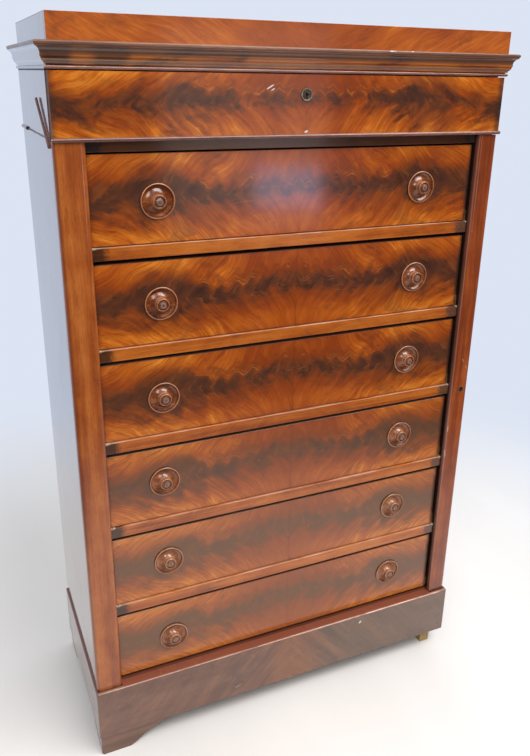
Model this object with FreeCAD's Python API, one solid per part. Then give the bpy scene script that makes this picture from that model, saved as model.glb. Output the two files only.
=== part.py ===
import FreeCAD, Part
import os

# A seven-drawer semainier: a tall mahogany chest with a frieze drawer under the cornice, six
# drawers between two pilasters, and a right pilaster that is a hinged stile which locks them.
# Millimetres, +Z up, front towards -Y, origin on the floor under the middle of the whole chest.

# ---- case ----
case_width = 900.0
case_depth = 374.0
side_thickness = 20.0
board_thickness = 20.0
back_board_thickness = 12.0
back_board_count = 5
back_board_gap = 0.6
housing_depth = 6.0
glue_line = 0.5

# ---- plinth and feet ----
foot_height = 50.0
plinth_height = 123.0
plinth_thickness = 24.0
plinth_front_ledge = 9.0
plinth_side_ledge = 4.0
plinth_edge_radius = 3.5
plinth_corner_radius = 5.0
plinth_back_thickness = 20.0
bottom_reveal = 9.0
foot_inset = 3.0
foot_thickness = 20.0
foot_splay = 3.0
front_foot_length = 168.0
front_foot_pad = 61.0
side_foot_length = 112.0
side_foot_pad = 52.0
foot_step_along = 28.0
foot_step_height = 20.0
foot_step_rise = 3.5
foot_knee_back = 13.0
foot_knee_drop = 3.0
foot_hollow = 1.2
foot_sweep_rise = 1.5
foot_block_width = 26.0
foot_block_depth = 32.0
foot_block_top = 150.0
ledger_size = 20.0

# ---- pilasters and drawers ----
pilaster_width = 54.0
stile_width = 46.0
pilaster_thickness = 20.0
pilaster_arris_radius = 9.0
stile_floor_gap = 0.8
stile_head_gap = 1.0
stile_back_gap = 0.5
stile_drawer_gap = 4.0
drawer_recess = 16.0
rail_proud = 4.0
rail_arris = 0.8
rail_depth = 46.0
rail_height = 23.8
drawer_count = 6
drawer_height = 157.4
gap_under_front = 0.9
gap_over_front = 8.0
top_gap_less = 4.5
drawer_end_gap = 1.5
rail_end_gap = 1.0
front_thickness = 20.0
front_arris = 0.6
wall_thickness = 11.0
wall_shrink = 0.5
wall_drop = 8.0
back_drop = 5.0
drawer_back_gap = 12.0
bottom_thickness = 7.0
bottom_height = 9.0
groove_depth = 5.0
tail_length = 14.0
tail_count = 4
tail_fill = 0.66
tail_slope = 0.16
runner_thickness = 18.0
guide_height = 22.0
running_gap = 0.3
guide_gap = 0.7
stop_width = 30.0
stop_depth = 18.0
stop_height = 6.0
stop_inset = 120.0
stop_gap = 0.3

# ---- knobs ----
knob_radius = 32.0
knob_flange = 3.0
knob_edge_height = 2.0
knob_rim_height = 3.8
knob_rim_width = 2.2
knob_rim_round = 0.5
knob_step_drop = 1.3
knob_step_width = 1.1
knob_sunk_depth = 9.0
knob_wall_run = 2.6
knob_wall_depth = 3.6
knob_wall_hollow = 0.6
knob_floor_radius = 22.0
knob_floor_depth = 3.2
knob_floor_hollow = 0.4
knob_slope_hollow = 1.9
knob_neck_radius = 9.6
knob_neck_height = 9.4
knob_neck_hollow = 0.5
knob_head_radius = 12.2
knob_head_low = 11.4
knob_head_high = 14.6
knob_head_round = 0.7
knob_head_taper = 0.5
knob_ring_width = 2.2
knob_ring_round = 0.4
knob_groove_depth = 1.6
knob_groove_slope = 0.8
knob_button_radius = 6.8
knob_button_edge = 15.4
knob_button_height = 17.2
knob_button_round = 0.5
knob_dimple_radius = 1.0
knob_dimple_depth = 1.2
knob_tenon_radius = 6.0
knob_tenon_length = 17.0
knob_from_left_end = 118.5
knob_from_right_end = 120.5
# each drawer's knobs were bored by eye: right of and above the even place, top drawer first
left_knob_shifts = (1.2, 0.9, -0.6, -4.7, -2.3, 2.6)
left_knob_rises = (-3.9, -1.8, -2.1, 3.1, 1.2, -8.5)
right_knob_shifts = (0.0, 2.0, 0.9, -0.6, -2.9, -1.2)
right_knob_rises = (-2.7, -2.1, -0.9, 1.9, 3.5, 1.7)

# ---- frieze drawer ----
top_rail_height = 17.7
frieze_front_height = 108.2
frieze_foot_gap = 1.5
frieze_front_proud = 1.2
frieze_end_inset = 1.2
frieze_arris = 0.5
frieze_head_gap = 1.8
frieze_tail_count = 3
frieze_bead_radius = 3.5
frieze_bead_out = 4.0
frieze_bead_overhang = 2.5
escutcheon_radius = 11.3
escutcheon_rim = 2.2
escutcheon_thickness = 2.2
escutcheon_offset = 3.4
escutcheon_drop = 34.0
key_barrel_radius = 2.6
key_slot_width = 2.4
key_slot_length = 7.0
lock_width = 60.0
lock_height = 46.0
lock_thickness = 11.0
lock_wall = 1.5
lock_bolt_width = 20.0
lock_bolt_thickness = 5.0
lock_bolt_length = 22.0
bolt_throw = 8.0
bolt_gap = 0.3

# ---- cornice and attic ----
cornice_rail_height = 35.0
cornice_gap = 1.7
cornice_bead_height = 5.5
cornice_bead_out = 4.0
cornice_lip_out = 3.2
cornice_lip_height = 2.3
cornice_belly_out = 8.2
cornice_belly_height = 11.0
cornice_belly_swell = 1.2
cornice_fillet_out = 9.4
cornice_fillet_height = 12.2
cornice_crown_out = 17.0
cornice_crown_height = 1.6
cornice_cove_sag = 3.2
cap_out = 18.5
cap_thickness = 6.5
cap_edge_radius = 2.6
attic_height = 41.5
attic_arris = 0.8
attic_front_out = 7.7
attic_end_inset = 3.0
attic_board = 20.0
attic_top_thickness = 12.0

# ---- side beads ----
side_bead_radius = 3.5
side_bead_out = 4.0
side_bead_centre_up = 3.0
left_bead_stub_start = 302.0
loose_strip_length = 117.0
loose_strip_tilt = 38.0
loose_strip_foot_back = 27.0
loose_strip_foot_down = 12.0
loose_strip_lean = 0.85

# ---- stile hinges and lock ----
hinge_inner_offset = 152.0
hinge_outer_offset = 492.0
hinge_length = 50.0
hinge_leaf_width = 13.0
hinge_leaf_thickness = 1.5
hinge_barrel_radius = 2.8
hinge_pin_radius = 1.2
hinge_fit = 0.05
hinge_leaf_gap = 0.1
hinge_axis_out = 3.0
hinge_knuckle_gap = 0.3
stile_lock_width = 30.0
stile_lock_height = 60.0
stile_lock_height_above_rail = 12.7
stile_lock_in_from_edge = 19.5
stile_bolt_height = 8.0
stile_bolt_thickness = 3.0
stile_bolt_length = 16.0
stile_bolt_from_back = 1.6
keyhole_bore_radius = 7.0
keyhole_liner_wall = 1.1
keyhole_liner_length = 8.0

# ---- planes worked out from the sizes above ----
half_width = case_width / 2
total_depth = case_depth + cap_out
back_y = total_depth / 2
face_y = back_y - case_depth
inner_x = half_width - side_thickness
pilaster_back_y = face_y + pilaster_thickness
case_front_y = pilaster_back_y + stile_back_gap
case_back_y = back_y - back_board_thickness
plinth_top = foot_height + plinth_height
case_floor = plinth_top + bottom_reveal
left_opening_x = -half_width + pilaster_width
stile_inner_x = half_width - stile_width
right_opening_x = stile_inner_x - rail_end_gap
drawer_left_x = left_opening_x + drawer_end_gap
drawer_right_x = stile_inner_x - stile_drawer_gap
drawer_y = face_y + drawer_recess
rail_y = drawer_y - rail_proud
drawer_end_y = case_back_y - drawer_back_gap
slot_height = gap_under_front + drawer_height + gap_over_front
drawer_pitch = slot_height + rail_height
top_rail_base = case_floor + drawer_count * drawer_pitch - rail_height - top_gap_less
frieze_floor = top_rail_base + top_rail_height
frieze_base = frieze_floor + frieze_foot_gap
frieze_bead_z = frieze_base + frieze_bead_radius / 2
frieze_y = face_y - frieze_front_proud
frieze_top = frieze_base + frieze_front_height
cornice_rail_base = frieze_top + frieze_head_gap
cornice_rail_top = cornice_rail_base + cornice_rail_height
cap_top = cornice_rail_top + cap_thickness
attic_top_z = cap_top + attic_height
wall_left_x = drawer_left_x + wall_shrink
wall_right_x = drawer_right_x - wall_shrink
side_bead_z = frieze_floor + side_bead_centre_up
hinge_axis_x = half_width + hinge_axis_out
hinge_axis_y = pilaster_back_y + stile_back_gap / 2
stile_base = plinth_top + stile_floor_gap
stile_top = frieze_bead_z - frieze_bead_radius - stile_head_gap
lock_rail_top = case_floor + (drawer_count // 2) * drawer_pitch
key_z = lock_rail_top - stile_lock_height_above_rail
key_x = half_width - stile_lock_in_from_edge
frieze_key_x = escutcheon_offset
frieze_key_z = frieze_top - escutcheon_drop
stile_middle = (stile_base + stile_top) / 2
big = case_depth + case_width


def block(x0, x1, y0, y1, z0, z1):
    """Box between two corners."""
    return Part.makeBox(x1 - x0, y1 - y0, z1 - z0, FreeCAD.Vector(x0, y0, z0))


def wire_face(points):
    """Flat face bounded by straight edges through the points."""
    return Part.Face(Part.makePolygon(points + points[:1]))


def prism_xy(points, z0, z1):
    """Prism of an XY outline between two heights."""
    corners = [FreeCAD.Vector(x, y, z0) for x, y in points]
    return wire_face(corners).extrude(FreeCAD.Vector(0, 0, z1 - z0))


def prism_yz(points, x0, x1):
    """Prism of a YZ outline between two X planes."""
    corners = [FreeCAD.Vector(x0, y, z) for y, z in points]
    return wire_face(corners).extrude(FreeCAD.Vector(x1 - x0, 0, 0))


def edge_ring(edges):
    """Face inside a closed chain of edges."""
    return Part.Face(Part.Wire(edges))


def line(a, b):
    """Straight edge between two points."""
    return Part.LineSegment(FreeCAD.Vector(*a), FreeCAD.Vector(*b)).toShape()


def arc(a, b, c):
    """Circular edge from a through b to c."""
    return Part.Arc(FreeCAD.Vector(*a), FreeCAD.Vector(*b), FreeCAD.Vector(*c)).toShape()


def cylinder_z(x, y, z0, z1, radius):
    """Upright cylinder."""
    return Part.makeCylinder(radius, z1 - z0, FreeCAD.Vector(x, y, z0))


def cylinder_y(x, z, y0, y1, radius):
    """Cylinder along Y."""
    return Part.makeCylinder(radius, y1 - y0, FreeCAD.Vector(x, y0, z), FreeCAD.Vector(0, 1, 0))


def group(shapes):
    """Several separate solids kept together as one shape."""
    solids = []
    for shape in shapes:
        solids += shape.Solids
    return Part.makeCompound(solids)


def one_solid(shape):
    """The single solid of a cut or fused shape."""
    return shape.removeSplitter().Solids[0]


def mirrored_x(shape):
    """Copy of a shape mirrored in the middle plane."""
    return shape.mirror(FreeCAD.Vector(0, 0, 0), FreeCAD.Vector(1, 0, 0))


def upright_edges(shape, x, y):
    """Edges of a shape that stand upright at one XY place."""
    found = []
    for edge in shape.Edges:
        ends = [vertex.Point for vertex in edge.Vertexes]
        if len(ends) == 2 and all(abs(p.x - x) + abs(p.y - y) < glue_line for p in ends):
            found.append(edge)
    return found


def long_edges(shape, y):
    """Edges of a shape that run along X in the plane at y."""
    found = []
    for edge in shape.Edges:
        box = edge.BoundBox
        if abs(box.YMin - y) + abs(box.YMax - y) < glue_line and box.XLength > glue_line:
            found.append(edge)
    return found


def eased(shape, radius, edges):
    """Shape with those edges rounded over."""
    return shape.makeFillet(radius, edges)


# ---- fixed case ----

def shelf(z0, z1, tongue_y):
    """Board across the case: housed in both sides, with a tongue between the pilasters."""
    body = block(-inner_x - housing_depth, inner_x + housing_depth,
                 case_front_y, case_back_y, z0, z1)
    tongue = block(left_opening_x, right_opening_x, tongue_y, case_front_y, z0, z1)
    return one_solid(body.fuse(tongue))


def case_bottom():
    """Bottom board let down inside the plinth, its front edge showing above the ledge."""
    body = block(-inner_x, inner_x, case_front_y, case_back_y,
                 case_floor - board_thickness, case_floor)
    tongue = block(left_opening_x, right_opening_x, face_y - plinth_front_ledge + plinth_thickness,
                   case_front_y, case_floor - board_thickness, case_floor)
    return one_solid(body.fuse(tongue))


def case_top():
    """Top board between the sides, behind the cornice rail."""
    return block(-inner_x - housing_depth, inner_x + housing_depth, pilaster_back_y, case_back_y,
                 cornice_rail_top - board_thickness, cornice_rail_top)


def rail(z1, height):
    """Drawer rail with its top at z1."""
    whole = shelf(z1 - height, z1, rail_y)
    bar = one_solid(whole.common(block(-big, big, rail_y, rail_y + rail_depth, z1 - height, z1)))
    return eased(bar, rail_arris, long_edges(bar, rail_y))


def bolt_mortise():
    """Pocket in the end of the middle rail that takes the stile's bolt."""
    y1 = pilaster_back_y - stile_bolt_from_back
    return block(right_opening_x - bolt_throw - bolt_gap, right_opening_x + bolt_gap,
                 y1 - stile_bolt_thickness - bolt_gap, y1 + bolt_gap,
                 key_z - stile_bolt_height / 2 - bolt_gap, key_z + stile_bolt_height / 2 + bolt_gap)


def drawer_rails():
    """Five rails between the drawers and the deeper one under the frieze drawer."""
    rails = []
    for level in range(1, drawer_count):
        board = rail(case_floor + level * drawer_pitch, rail_height)
        if level == drawer_count // 2:
            board = board.cut(bolt_mortise())
        rails.append(board)
    rails.append(rail(frieze_floor, top_rail_height))
    return rails


def case_side(front_y):
    """Left side panel from its front edge to the back, housed for the rails and the top."""
    panel = block(-half_width, -inner_x, front_y, back_y, plinth_top, cornice_rail_top)
    return one_solid(panel.cut(group(drawer_rails() + [case_top()])))


def rounded_post(x0, x1, z0, z1):
    """Flat post with both front arrises rounded."""
    post = block(x0, x1, face_y, pilaster_back_y, z0, z1)
    arrises = upright_edges(post, x0, face_y) + upright_edges(post, x1, face_y)
    return post.makeFillet(pilaster_arris_radius, arrises)


def left_pilaster():
    """Fixed pilaster planted on the front edge of the left side."""
    return rounded_post(-half_width, left_opening_x, plinth_top, frieze_floor)


def back_boards():
    """Upright boards that close the back between the sides."""
    width = (2 * inner_x + back_board_gap) / back_board_count
    boards = []
    for index in range(back_board_count):
        x0 = -inner_x + index * width
        boards.append(block(x0, x0 + width - back_board_gap, case_back_y, back_y,
                            case_floor - board_thickness, cornice_rail_top))
    return group(boards)


def floor_levels():
    """Running height of each drawer, lowest first, then the frieze drawer."""
    return [case_floor + level * drawer_pitch for level in range(drawer_count)] + [frieze_floor]


def runner(level, side, floor):
    """Runner with its guide strip, at one side of one drawer; the lowest is the guide alone."""
    wall_x = wall_left_x if side < 0 else wall_right_x
    guide_x = wall_x + side * guide_gap
    bearing_x = wall_x - side * wall_thickness
    rail_back_y = rail_y + rail_depth
    guide_y = rail_back_y if level == drawer_count else case_front_y
    lows = sorted((side * inner_x, guide_x))
    guide = block(lows[0], lows[1], guide_y, case_back_y, floor, floor + guide_height)
    if level == 0:
        return guide
    spans = sorted((side * inner_x, bearing_x))
    strip = block(spans[0], spans[1], rail_back_y, case_back_y, floor - runner_thickness, floor)
    return one_solid(strip.fuse(guide))


def drawer_runners():
    """A runner each side of every drawer."""
    strips = []
    for level, floor in enumerate(floor_levels()):
        for side in (-1, 1):
            strips.append(runner(level, side, floor))
    return group(strips)


def drawer_stops():
    """Small blocks on the rails that the drawer fronts close against."""
    blocks = []
    for level, floor in enumerate(floor_levels()):
        front_y = frieze_y if level == drawer_count else drawer_y
        y0 = front_y + front_thickness + stop_gap
        for x0 in (drawer_left_x + stop_inset, drawer_right_x - stop_inset - stop_width):
            blocks.append(block(x0, x0 + stop_width, y0, y0 + stop_depth,
                                floor, floor + stop_height))
    return group(blocks)


# ---- plinth and feet ----

def plinth_shell():
    """Whole plinth as one ring, rounded along its top edge and front corners."""
    x1 = half_width + plinth_side_ledge
    y0 = face_y - plinth_front_ledge
    ring = block(-x1, x1, y0, back_y, foot_height, plinth_top)
    corners = upright_edges(ring, -x1, y0) + upright_edges(ring, x1, y0)
    ring = ring.makeFillet(plinth_corner_radius, corners)
    rim = []
    for edge in ring.Edges:
        box = edge.BoundBox
        if box.ZMin > plinth_top - glue_line and box.YMin < back_y - glue_line:
            rim.append(edge)
    ring = ring.makeFillet(plinth_edge_radius, rim)
    hole = block(-x1 + plinth_thickness, x1 - plinth_thickness, y0 + plinth_thickness,
                 back_y - plinth_back_thickness, foot_height - glue_line, plinth_top + glue_line)
    return ring.cut(hole)


def plinth_pieces():
    """The ring parted at its front mitres and rear butt joints."""
    x1 = half_width + plinth_side_ledge
    y0 = face_y - plinth_front_ledge
    y1 = back_y - plinth_back_thickness
    inside = x1 - plinth_thickness
    shell = plinth_shell()
    front_zone = prism_xy([(-x1, y0), (x1, y0), (inside, y0 + plinth_thickness),
                           (-inside, y0 + plinth_thickness)], foot_height, plinth_top)
    left_zone = prism_xy([(-x1, y0), (-inside, y0 + plinth_thickness), (-inside, back_y),
                          (-x1, back_y)], foot_height, plinth_top)
    back_zone = block(-inside, inside, y1, back_y, foot_height, plinth_top)
    front = one_solid(shell.common(front_zone))
    left = one_solid(shell.common(left_zone))
    back = one_solid(shell.common(back_zone))
    seat = case_bottom()
    return front, left.cut(seat), mirrored_x(left).cut(seat), back.cut(seat).cut(back_boards())


def bowed(a, b, bow):
    """Arc between two points of the XZ plane, its middle raised by bow above the chord."""
    return arc(a, ((a[0] + b[0]) / 2, 0, (a[2] + b[2]) / 2 + bow), b)


def foot_outline(length, pad, splay):
    """Bracket outline from the outer end: pad on the floor, hollow, small step, long sweep."""
    pad_end = (splay + pad, 0, 0)
    step_low = (splay + pad + foot_step_along, 0, foot_step_height)
    step_high = (splay + pad + foot_step_along, 0, foot_step_height + foot_step_rise)
    knee = (length - foot_knee_back, 0, foot_height - foot_knee_drop)
    tip = (length, 0, foot_height)
    return [line((0, 0, foot_height), (splay, 0, 0)), line((splay, 0, 0), pad_end),
            bowed(pad_end, step_low, -foot_hollow), line(step_low, step_high),
            bowed(step_high, knee, foot_sweep_rise), line(knee, tip),
            line(tip, (0, 0, foot_height))]


def foot_leaf(length, pad):
    """Front leaf of a bracket foot, running to +X from x = 0, its face at y = 0."""
    face = edge_ring(foot_outline(length, pad, foot_splay))
    return face.extrude(FreeCAD.Vector(0, foot_thickness, 0))


def front_foot():
    """Left front bracket foot: two leaves that meet in a mitre."""
    x0 = -half_width - plinth_side_ledge + foot_inset
    y0 = face_y - plinth_front_ledge + foot_inset
    front = foot_leaf(front_foot_length, front_foot_pad)
    front.translate(FreeCAD.Vector(x0, y0, 0))
    side = foot_leaf(side_foot_length, side_foot_pad)
    side.rotate(FreeCAD.Vector(0, 0, 0), FreeCAD.Vector(0, 0, 1), 90)
    side.translate(FreeCAD.Vector(x0 + foot_thickness, y0, 0))
    front_zone = prism_xy([(x0, y0), (x0 + big, y0), (x0 + big, y0 + big)], 0, foot_height)
    side_zone = prism_xy([(x0, y0), (x0 + big, y0 + big), (x0, y0 + big)], 0, foot_height)
    return group([front.common(front_zone), side.common(side_zone)])


def rear_feet():
    """Bracket leaf under each rear end of the plinth sides."""
    x0 = -half_width - plinth_side_ledge + foot_inset
    leaf = foot_leaf(side_foot_length, side_foot_pad)
    leaf.rotate(FreeCAD.Vector(0, 0, 0), FreeCAD.Vector(0, 0, 1), -90)
    leaf.translate(FreeCAD.Vector(x0, back_y, 0))
    return group([leaf, mirrored_x(leaf)])


def foot_block(side, y0):
    """Upright corner block inside the plinth that reaches the floor."""
    x1 = half_width + plinth_side_ledge - plinth_thickness
    spans = sorted((side * x1, side * (x1 - foot_block_width)))
    return block(spans[0], spans[1], y0, y0 + foot_block_depth, 0, foot_block_top)


def plinth_blocks():
    """Hidden corner blocks and the ledger strips under the bottom board."""
    front_y = face_y - plinth_front_ledge + plinth_thickness
    rear_y = back_y - plinth_back_thickness
    x1 = half_width + plinth_side_ledge - plinth_thickness
    z1 = case_floor - board_thickness
    z0 = z1 - ledger_size
    between = x1 - foot_block_width
    blocks = [foot_block(-1, front_y)]
    blocks += [foot_block(side, rear_y - foot_block_depth) for side in (-1, 1)]
    blocks.append(block(-between, between, front_y, front_y + ledger_size, z0, z1))
    blocks.append(block(-between, between, rear_y - ledger_size, rear_y, z0, z1))
    side_y0 = front_y + foot_block_depth
    side_y1 = rear_y - foot_block_depth
    blocks.append(block(-x1, -x1 + ledger_size, side_y0, side_y1, z0, z1))
    blocks.append(block(x1 - ledger_size, x1, side_y0, side_y1, z0, z1))
    return group(blocks)


def bare_foot_block():
    """Right front corner block, left standing bare where its bracket foot is gone."""
    return foot_block(1, face_y - plinth_front_ledge + plinth_thickness)


# ---- cornice and attic ----

def mitre_zone(side, reach):
    """Prism that keeps the part of a planted moulding belonging to the front or one side."""
    z0 = cornice_rail_base - reach
    z1 = cap_top + reach
    if side == 0:
        return prism_xy([(-half_width - reach, face_y - reach), (half_width + reach, face_y - reach),
                         (half_width, face_y), (-half_width, face_y)], z0, z1)
    zone = prism_xy([(-half_width - reach, face_y - reach), (-half_width, face_y),
                     (-half_width, back_y), (-half_width - reach, back_y)], z0, z1)
    return zone if side < 0 else mirrored_x(zone)


def planted(outline, side):
    """Run an (out, up) outline along the front (side 0) or along one side of the case."""
    run = outline.copy()
    if side == 0:
        run = run.extrude(FreeCAD.Vector(case_width + 2 * cap_out, 0, 0))
        run.translate(FreeCAD.Vector(-half_width - cap_out, face_y, 0))
    else:
        run.rotate(FreeCAD.Vector(0, 0, 0), FreeCAD.Vector(0, 0, 1), -90)
        run = run.extrude(FreeCAD.Vector(0, case_depth + 2 * cap_out, 0))
        run.translate(FreeCAD.Vector(-half_width, face_y - 2 * cap_out, 0))
        run = run if side < 0 else mirrored_x(run)
    return run.common(mitre_zone(side, cap_out))


def cornice_outline():
    """Cornice section in the YZ plane: lip, swelling belly, fillet and cove under the cap."""
    z0 = cornice_rail_base + cornice_bead_height + cornice_gap
    z1 = cornice_rail_top
    lip_z = z0 + cornice_lip_height
    belly_z = z0 + cornice_belly_height
    fillet_z = z0 + cornice_fillet_height
    crown_z = z1 - cornice_crown_height
    outer = [(0, -cornice_lip_out, z0), (0, -cornice_lip_out, lip_z)]
    belly = (0, -cornice_belly_out, belly_z)
    fillet = [(0, -cornice_fillet_out, belly_z), (0, -cornice_fillet_out, fillet_z)]
    crown = [(0, -cornice_crown_out, crown_z), (0, -cornice_crown_out, z1)]
    edges = [line((0, 0, z0), outer[0]), line(outer[0], outer[1])]
    edges.append(bulged(outer[1], belly, cornice_belly_swell))
    edges.append(line(belly, fillet[0]))
    edges.append(line(fillet[0], fillet[1]))
    edges.append(bulged(fillet[1], crown[0], -cornice_cove_sag))
    edges.append(line(crown[0], crown[1]))
    edges.append(line(crown[1], (0, 0, z1)))
    edges.append(line((0, 0, z1), (0, 0, z0)))
    return edge_ring(edges)


def bulged(a, b, out):
    """Arc between two points of the YZ plane, its middle pushed out square to the chord."""
    dy, dz = b[1] - a[1], b[2] - a[2]
    span = (dy * dy + dz * dz) ** 0.5
    middle = (0, (a[1] + b[1]) / 2 - out * dz / span, (a[2] + b[2]) / 2 + out * dy / span)
    return arc(a, middle, b)


def bead_outline(centre_z, height, out):
    """Half-round bead section on a short flat, in the YZ plane."""
    half = height / 2
    flat = out - half
    low = centre_z - half
    top = centre_z + half
    edges = [line((0, 0, low), (0, -flat, low))]
    edges.append(arc((0, -flat, low), (0, -out, centre_z), (0, -flat, top)))
    edges.append(line((0, -flat, top), (0, 0, top)))
    edges.append(line((0, 0, top), (0, 0, low)))
    return edge_ring(edges)


def cornice_rail():
    """Upper rail across the front that carries the planted mouldings."""
    return block(-half_width, half_width, face_y, pilaster_back_y,
                 cornice_rail_base, cornice_rail_top).cut(frieze_bolt_mortise())


def frieze_bolt_mortise():
    """Pocket in the underside of the cornice rail for the frieze drawer's bolt."""
    back = frieze_y + front_thickness
    x0 = frieze_key_x - lock_bolt_width / 2 - bolt_gap
    return block(x0, x0 + lock_bolt_width + 2 * bolt_gap,
                 back - lock_wall - lock_bolt_thickness - bolt_gap, back - lock_wall + bolt_gap,
                 cornice_rail_base - bolt_gap, cornice_rail_base + bolt_throw + bolt_gap)


def cornice_moulding(side):
    """Cornice moulding along the front or one side."""
    return planted(cornice_outline(), side)


def cornice_beads():
    """Small astragal under the cornice, front and both sides."""
    section = bead_outline(cornice_rail_base + cornice_bead_height / 2,
                           cornice_bead_height, cornice_bead_out)
    return group([planted(section, side) for side in (0, -1, 1)])


def cornice_cap():
    """Thin board over the cornice with a rounded edge."""
    x1 = half_width + cap_out
    cap = block(-x1, x1, face_y - cap_out, back_y, cornice_rail_top, cap_top)
    edges = []
    for edge in cap.Edges:
        box = edge.BoundBox
        if box.ZLength < glue_line and box.YMin < back_y - glue_line:
            edges.append(edge)
    return cap.makeFillet(cap_edge_radius, edges)


def attic_box():
    """Low box on the cap: front, two ends, back and a top board let in between them."""
    x1 = half_width - attic_end_inset
    y0 = face_y - attic_front_out
    y1 = y0 + attic_board
    y2 = back_y - attic_board
    front = block(-x1, x1, y0, y1, cap_top, attic_top_z)
    rims = upright_edges(front, -x1, y0) + upright_edges(front, x1, y0)
    rims += [edge for edge in long_edges(front, y0) if edge.BoundBox.ZMin > cap_top + glue_line]
    front = eased(front, attic_arris, rims)
    left = block(-x1, -x1 + attic_board, y1, back_y, cap_top, attic_top_z)
    back = block(-x1 + attic_board, x1 - attic_board, y2, back_y, cap_top, attic_top_z)
    top = block(-x1 + attic_board, x1 - attic_board, y1, y2,
                attic_top_z - attic_top_thickness, attic_top_z)
    return front, group([left, mirrored_x(left), back]), top


# ---- side beads ----

def side_bead(side, y0):
    """Bead along one side panel from y0 to the back."""
    section = bead_outline(side_bead_z, 2 * side_bead_radius, side_bead_out)
    section.rotate(FreeCAD.Vector(0, 0, 0), FreeCAD.Vector(0, 0, 1), -90)
    run = section.extrude(FreeCAD.Vector(0, back_y - y0, 0))
    run.translate(FreeCAD.Vector(-half_width, y0, 0))
    return run if side < 0 else mirrored_x(run)


def loose_bead_strip():
    """Length of the left bead that has come away: its front end still touches the case side,
    its rear end stands up and a little away from the panel."""
    section = bead_outline(0, 2 * side_bead_radius, side_bead_out)
    section.rotate(FreeCAD.Vector(0, 0, 0), FreeCAD.Vector(0, 0, 1), -90)
    run = section.extrude(FreeCAD.Vector(0, loose_strip_length, 0))
    run.rotate(FreeCAD.Vector(0, 0, 0), FreeCAD.Vector(0, 0, 1), loose_strip_lean)
    run.rotate(FreeCAD.Vector(0, 0, 0), FreeCAD.Vector(1, 0, 0), loose_strip_tilt)
    run.translate(FreeCAD.Vector(-half_width, face_y + loose_strip_foot_back,
                                 side_bead_z - loose_strip_foot_down))
    return run


# ---- drawers ----

def tails(x0, x1, shoulder_y, end_y, z0, z1, count):
    """Row of dovetails from a shoulder line to an end line."""
    pitch = (z1 - z0) / count
    wide = pitch * tail_fill / 2
    narrow = wide - abs(end_y - shoulder_y) * tail_slope
    shapes = []
    for index in range(count):
        middle = z0 + (index + 0.5) * pitch
        shapes.append(prism_yz([(shoulder_y, middle - narrow), (end_y, middle - wide),
                                (end_y, middle + wide), (shoulder_y, middle + narrow)], x0, x1))
    return shapes


def drawer_box(front_y, floor, wall_top, count):
    """Walls and bottom of a drawer, with the tails and groove its front is cut for."""
    z0 = floor + running_gap
    low = z0 + bottom_height
    front_back = front_y + front_thickness
    back_y0 = drawer_end_y - wall_thickness
    bottom = block(wall_left_x + wall_thickness - groove_depth,
                   wall_right_x - wall_thickness + groove_depth,
                   front_back - groove_depth, drawer_end_y, low, low + bottom_thickness)
    walls = []
    front_tails = []
    back = block(wall_left_x, wall_right_x, back_y0, drawer_end_y,
                 low + bottom_thickness, wall_top - back_drop)
    for x0, x1 in ((wall_left_x, wall_left_x + wall_thickness),
                   (wall_right_x - wall_thickness, wall_right_x)):
        front_row = tails(x0, x1, front_back, front_back - tail_length,
                          low + bottom_thickness, wall_top, count)
        back_row = tails(x0, x1, back_y0, drawer_end_y,
                         low + bottom_thickness, wall_top - back_drop, count)
        foot = block(x0, x1, back_y0, drawer_end_y, z0, low + bottom_thickness)
        body = block(x0, x1, front_back, back_y0, z0, wall_top)
        wall = body.multiFuse(front_row + back_row + [foot])
        walls.append(one_solid(wall.cut(bottom)))
        front_tails += front_row
        back = back.cut(group(back_row))
    return walls + [one_solid(back)], bottom, front_tails


def drawer_front(base, front_tails, bottom):
    """Veneered front of one of the six drawers, socketed for its walls."""
    board = block(drawer_left_x, drawer_right_x, drawer_y, drawer_y + front_thickness,
                  base, base + drawer_height)
    edges = []
    for edge in board.Edges:
        if edge.BoundBox.YMax < drawer_y + glue_line:
            edges.append(edge)
    board = board.makeChamfer(front_arris, edges)
    return board.cut(group(front_tails)).cut(bottom)


def swell(a, b, out):
    """Arc between two (radius, height) points, its middle pushed out square to the chord."""
    dx, dz = b[0] - a[0], b[2] - a[2]
    span = (dx * dx + dz * dz) ** 0.5
    middle = ((a[0] + b[0]) / 2 - out * dz / span, 0, (a[2] + b[2]) / 2 + out * dx / span)
    return arc(a, middle, b)


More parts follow.
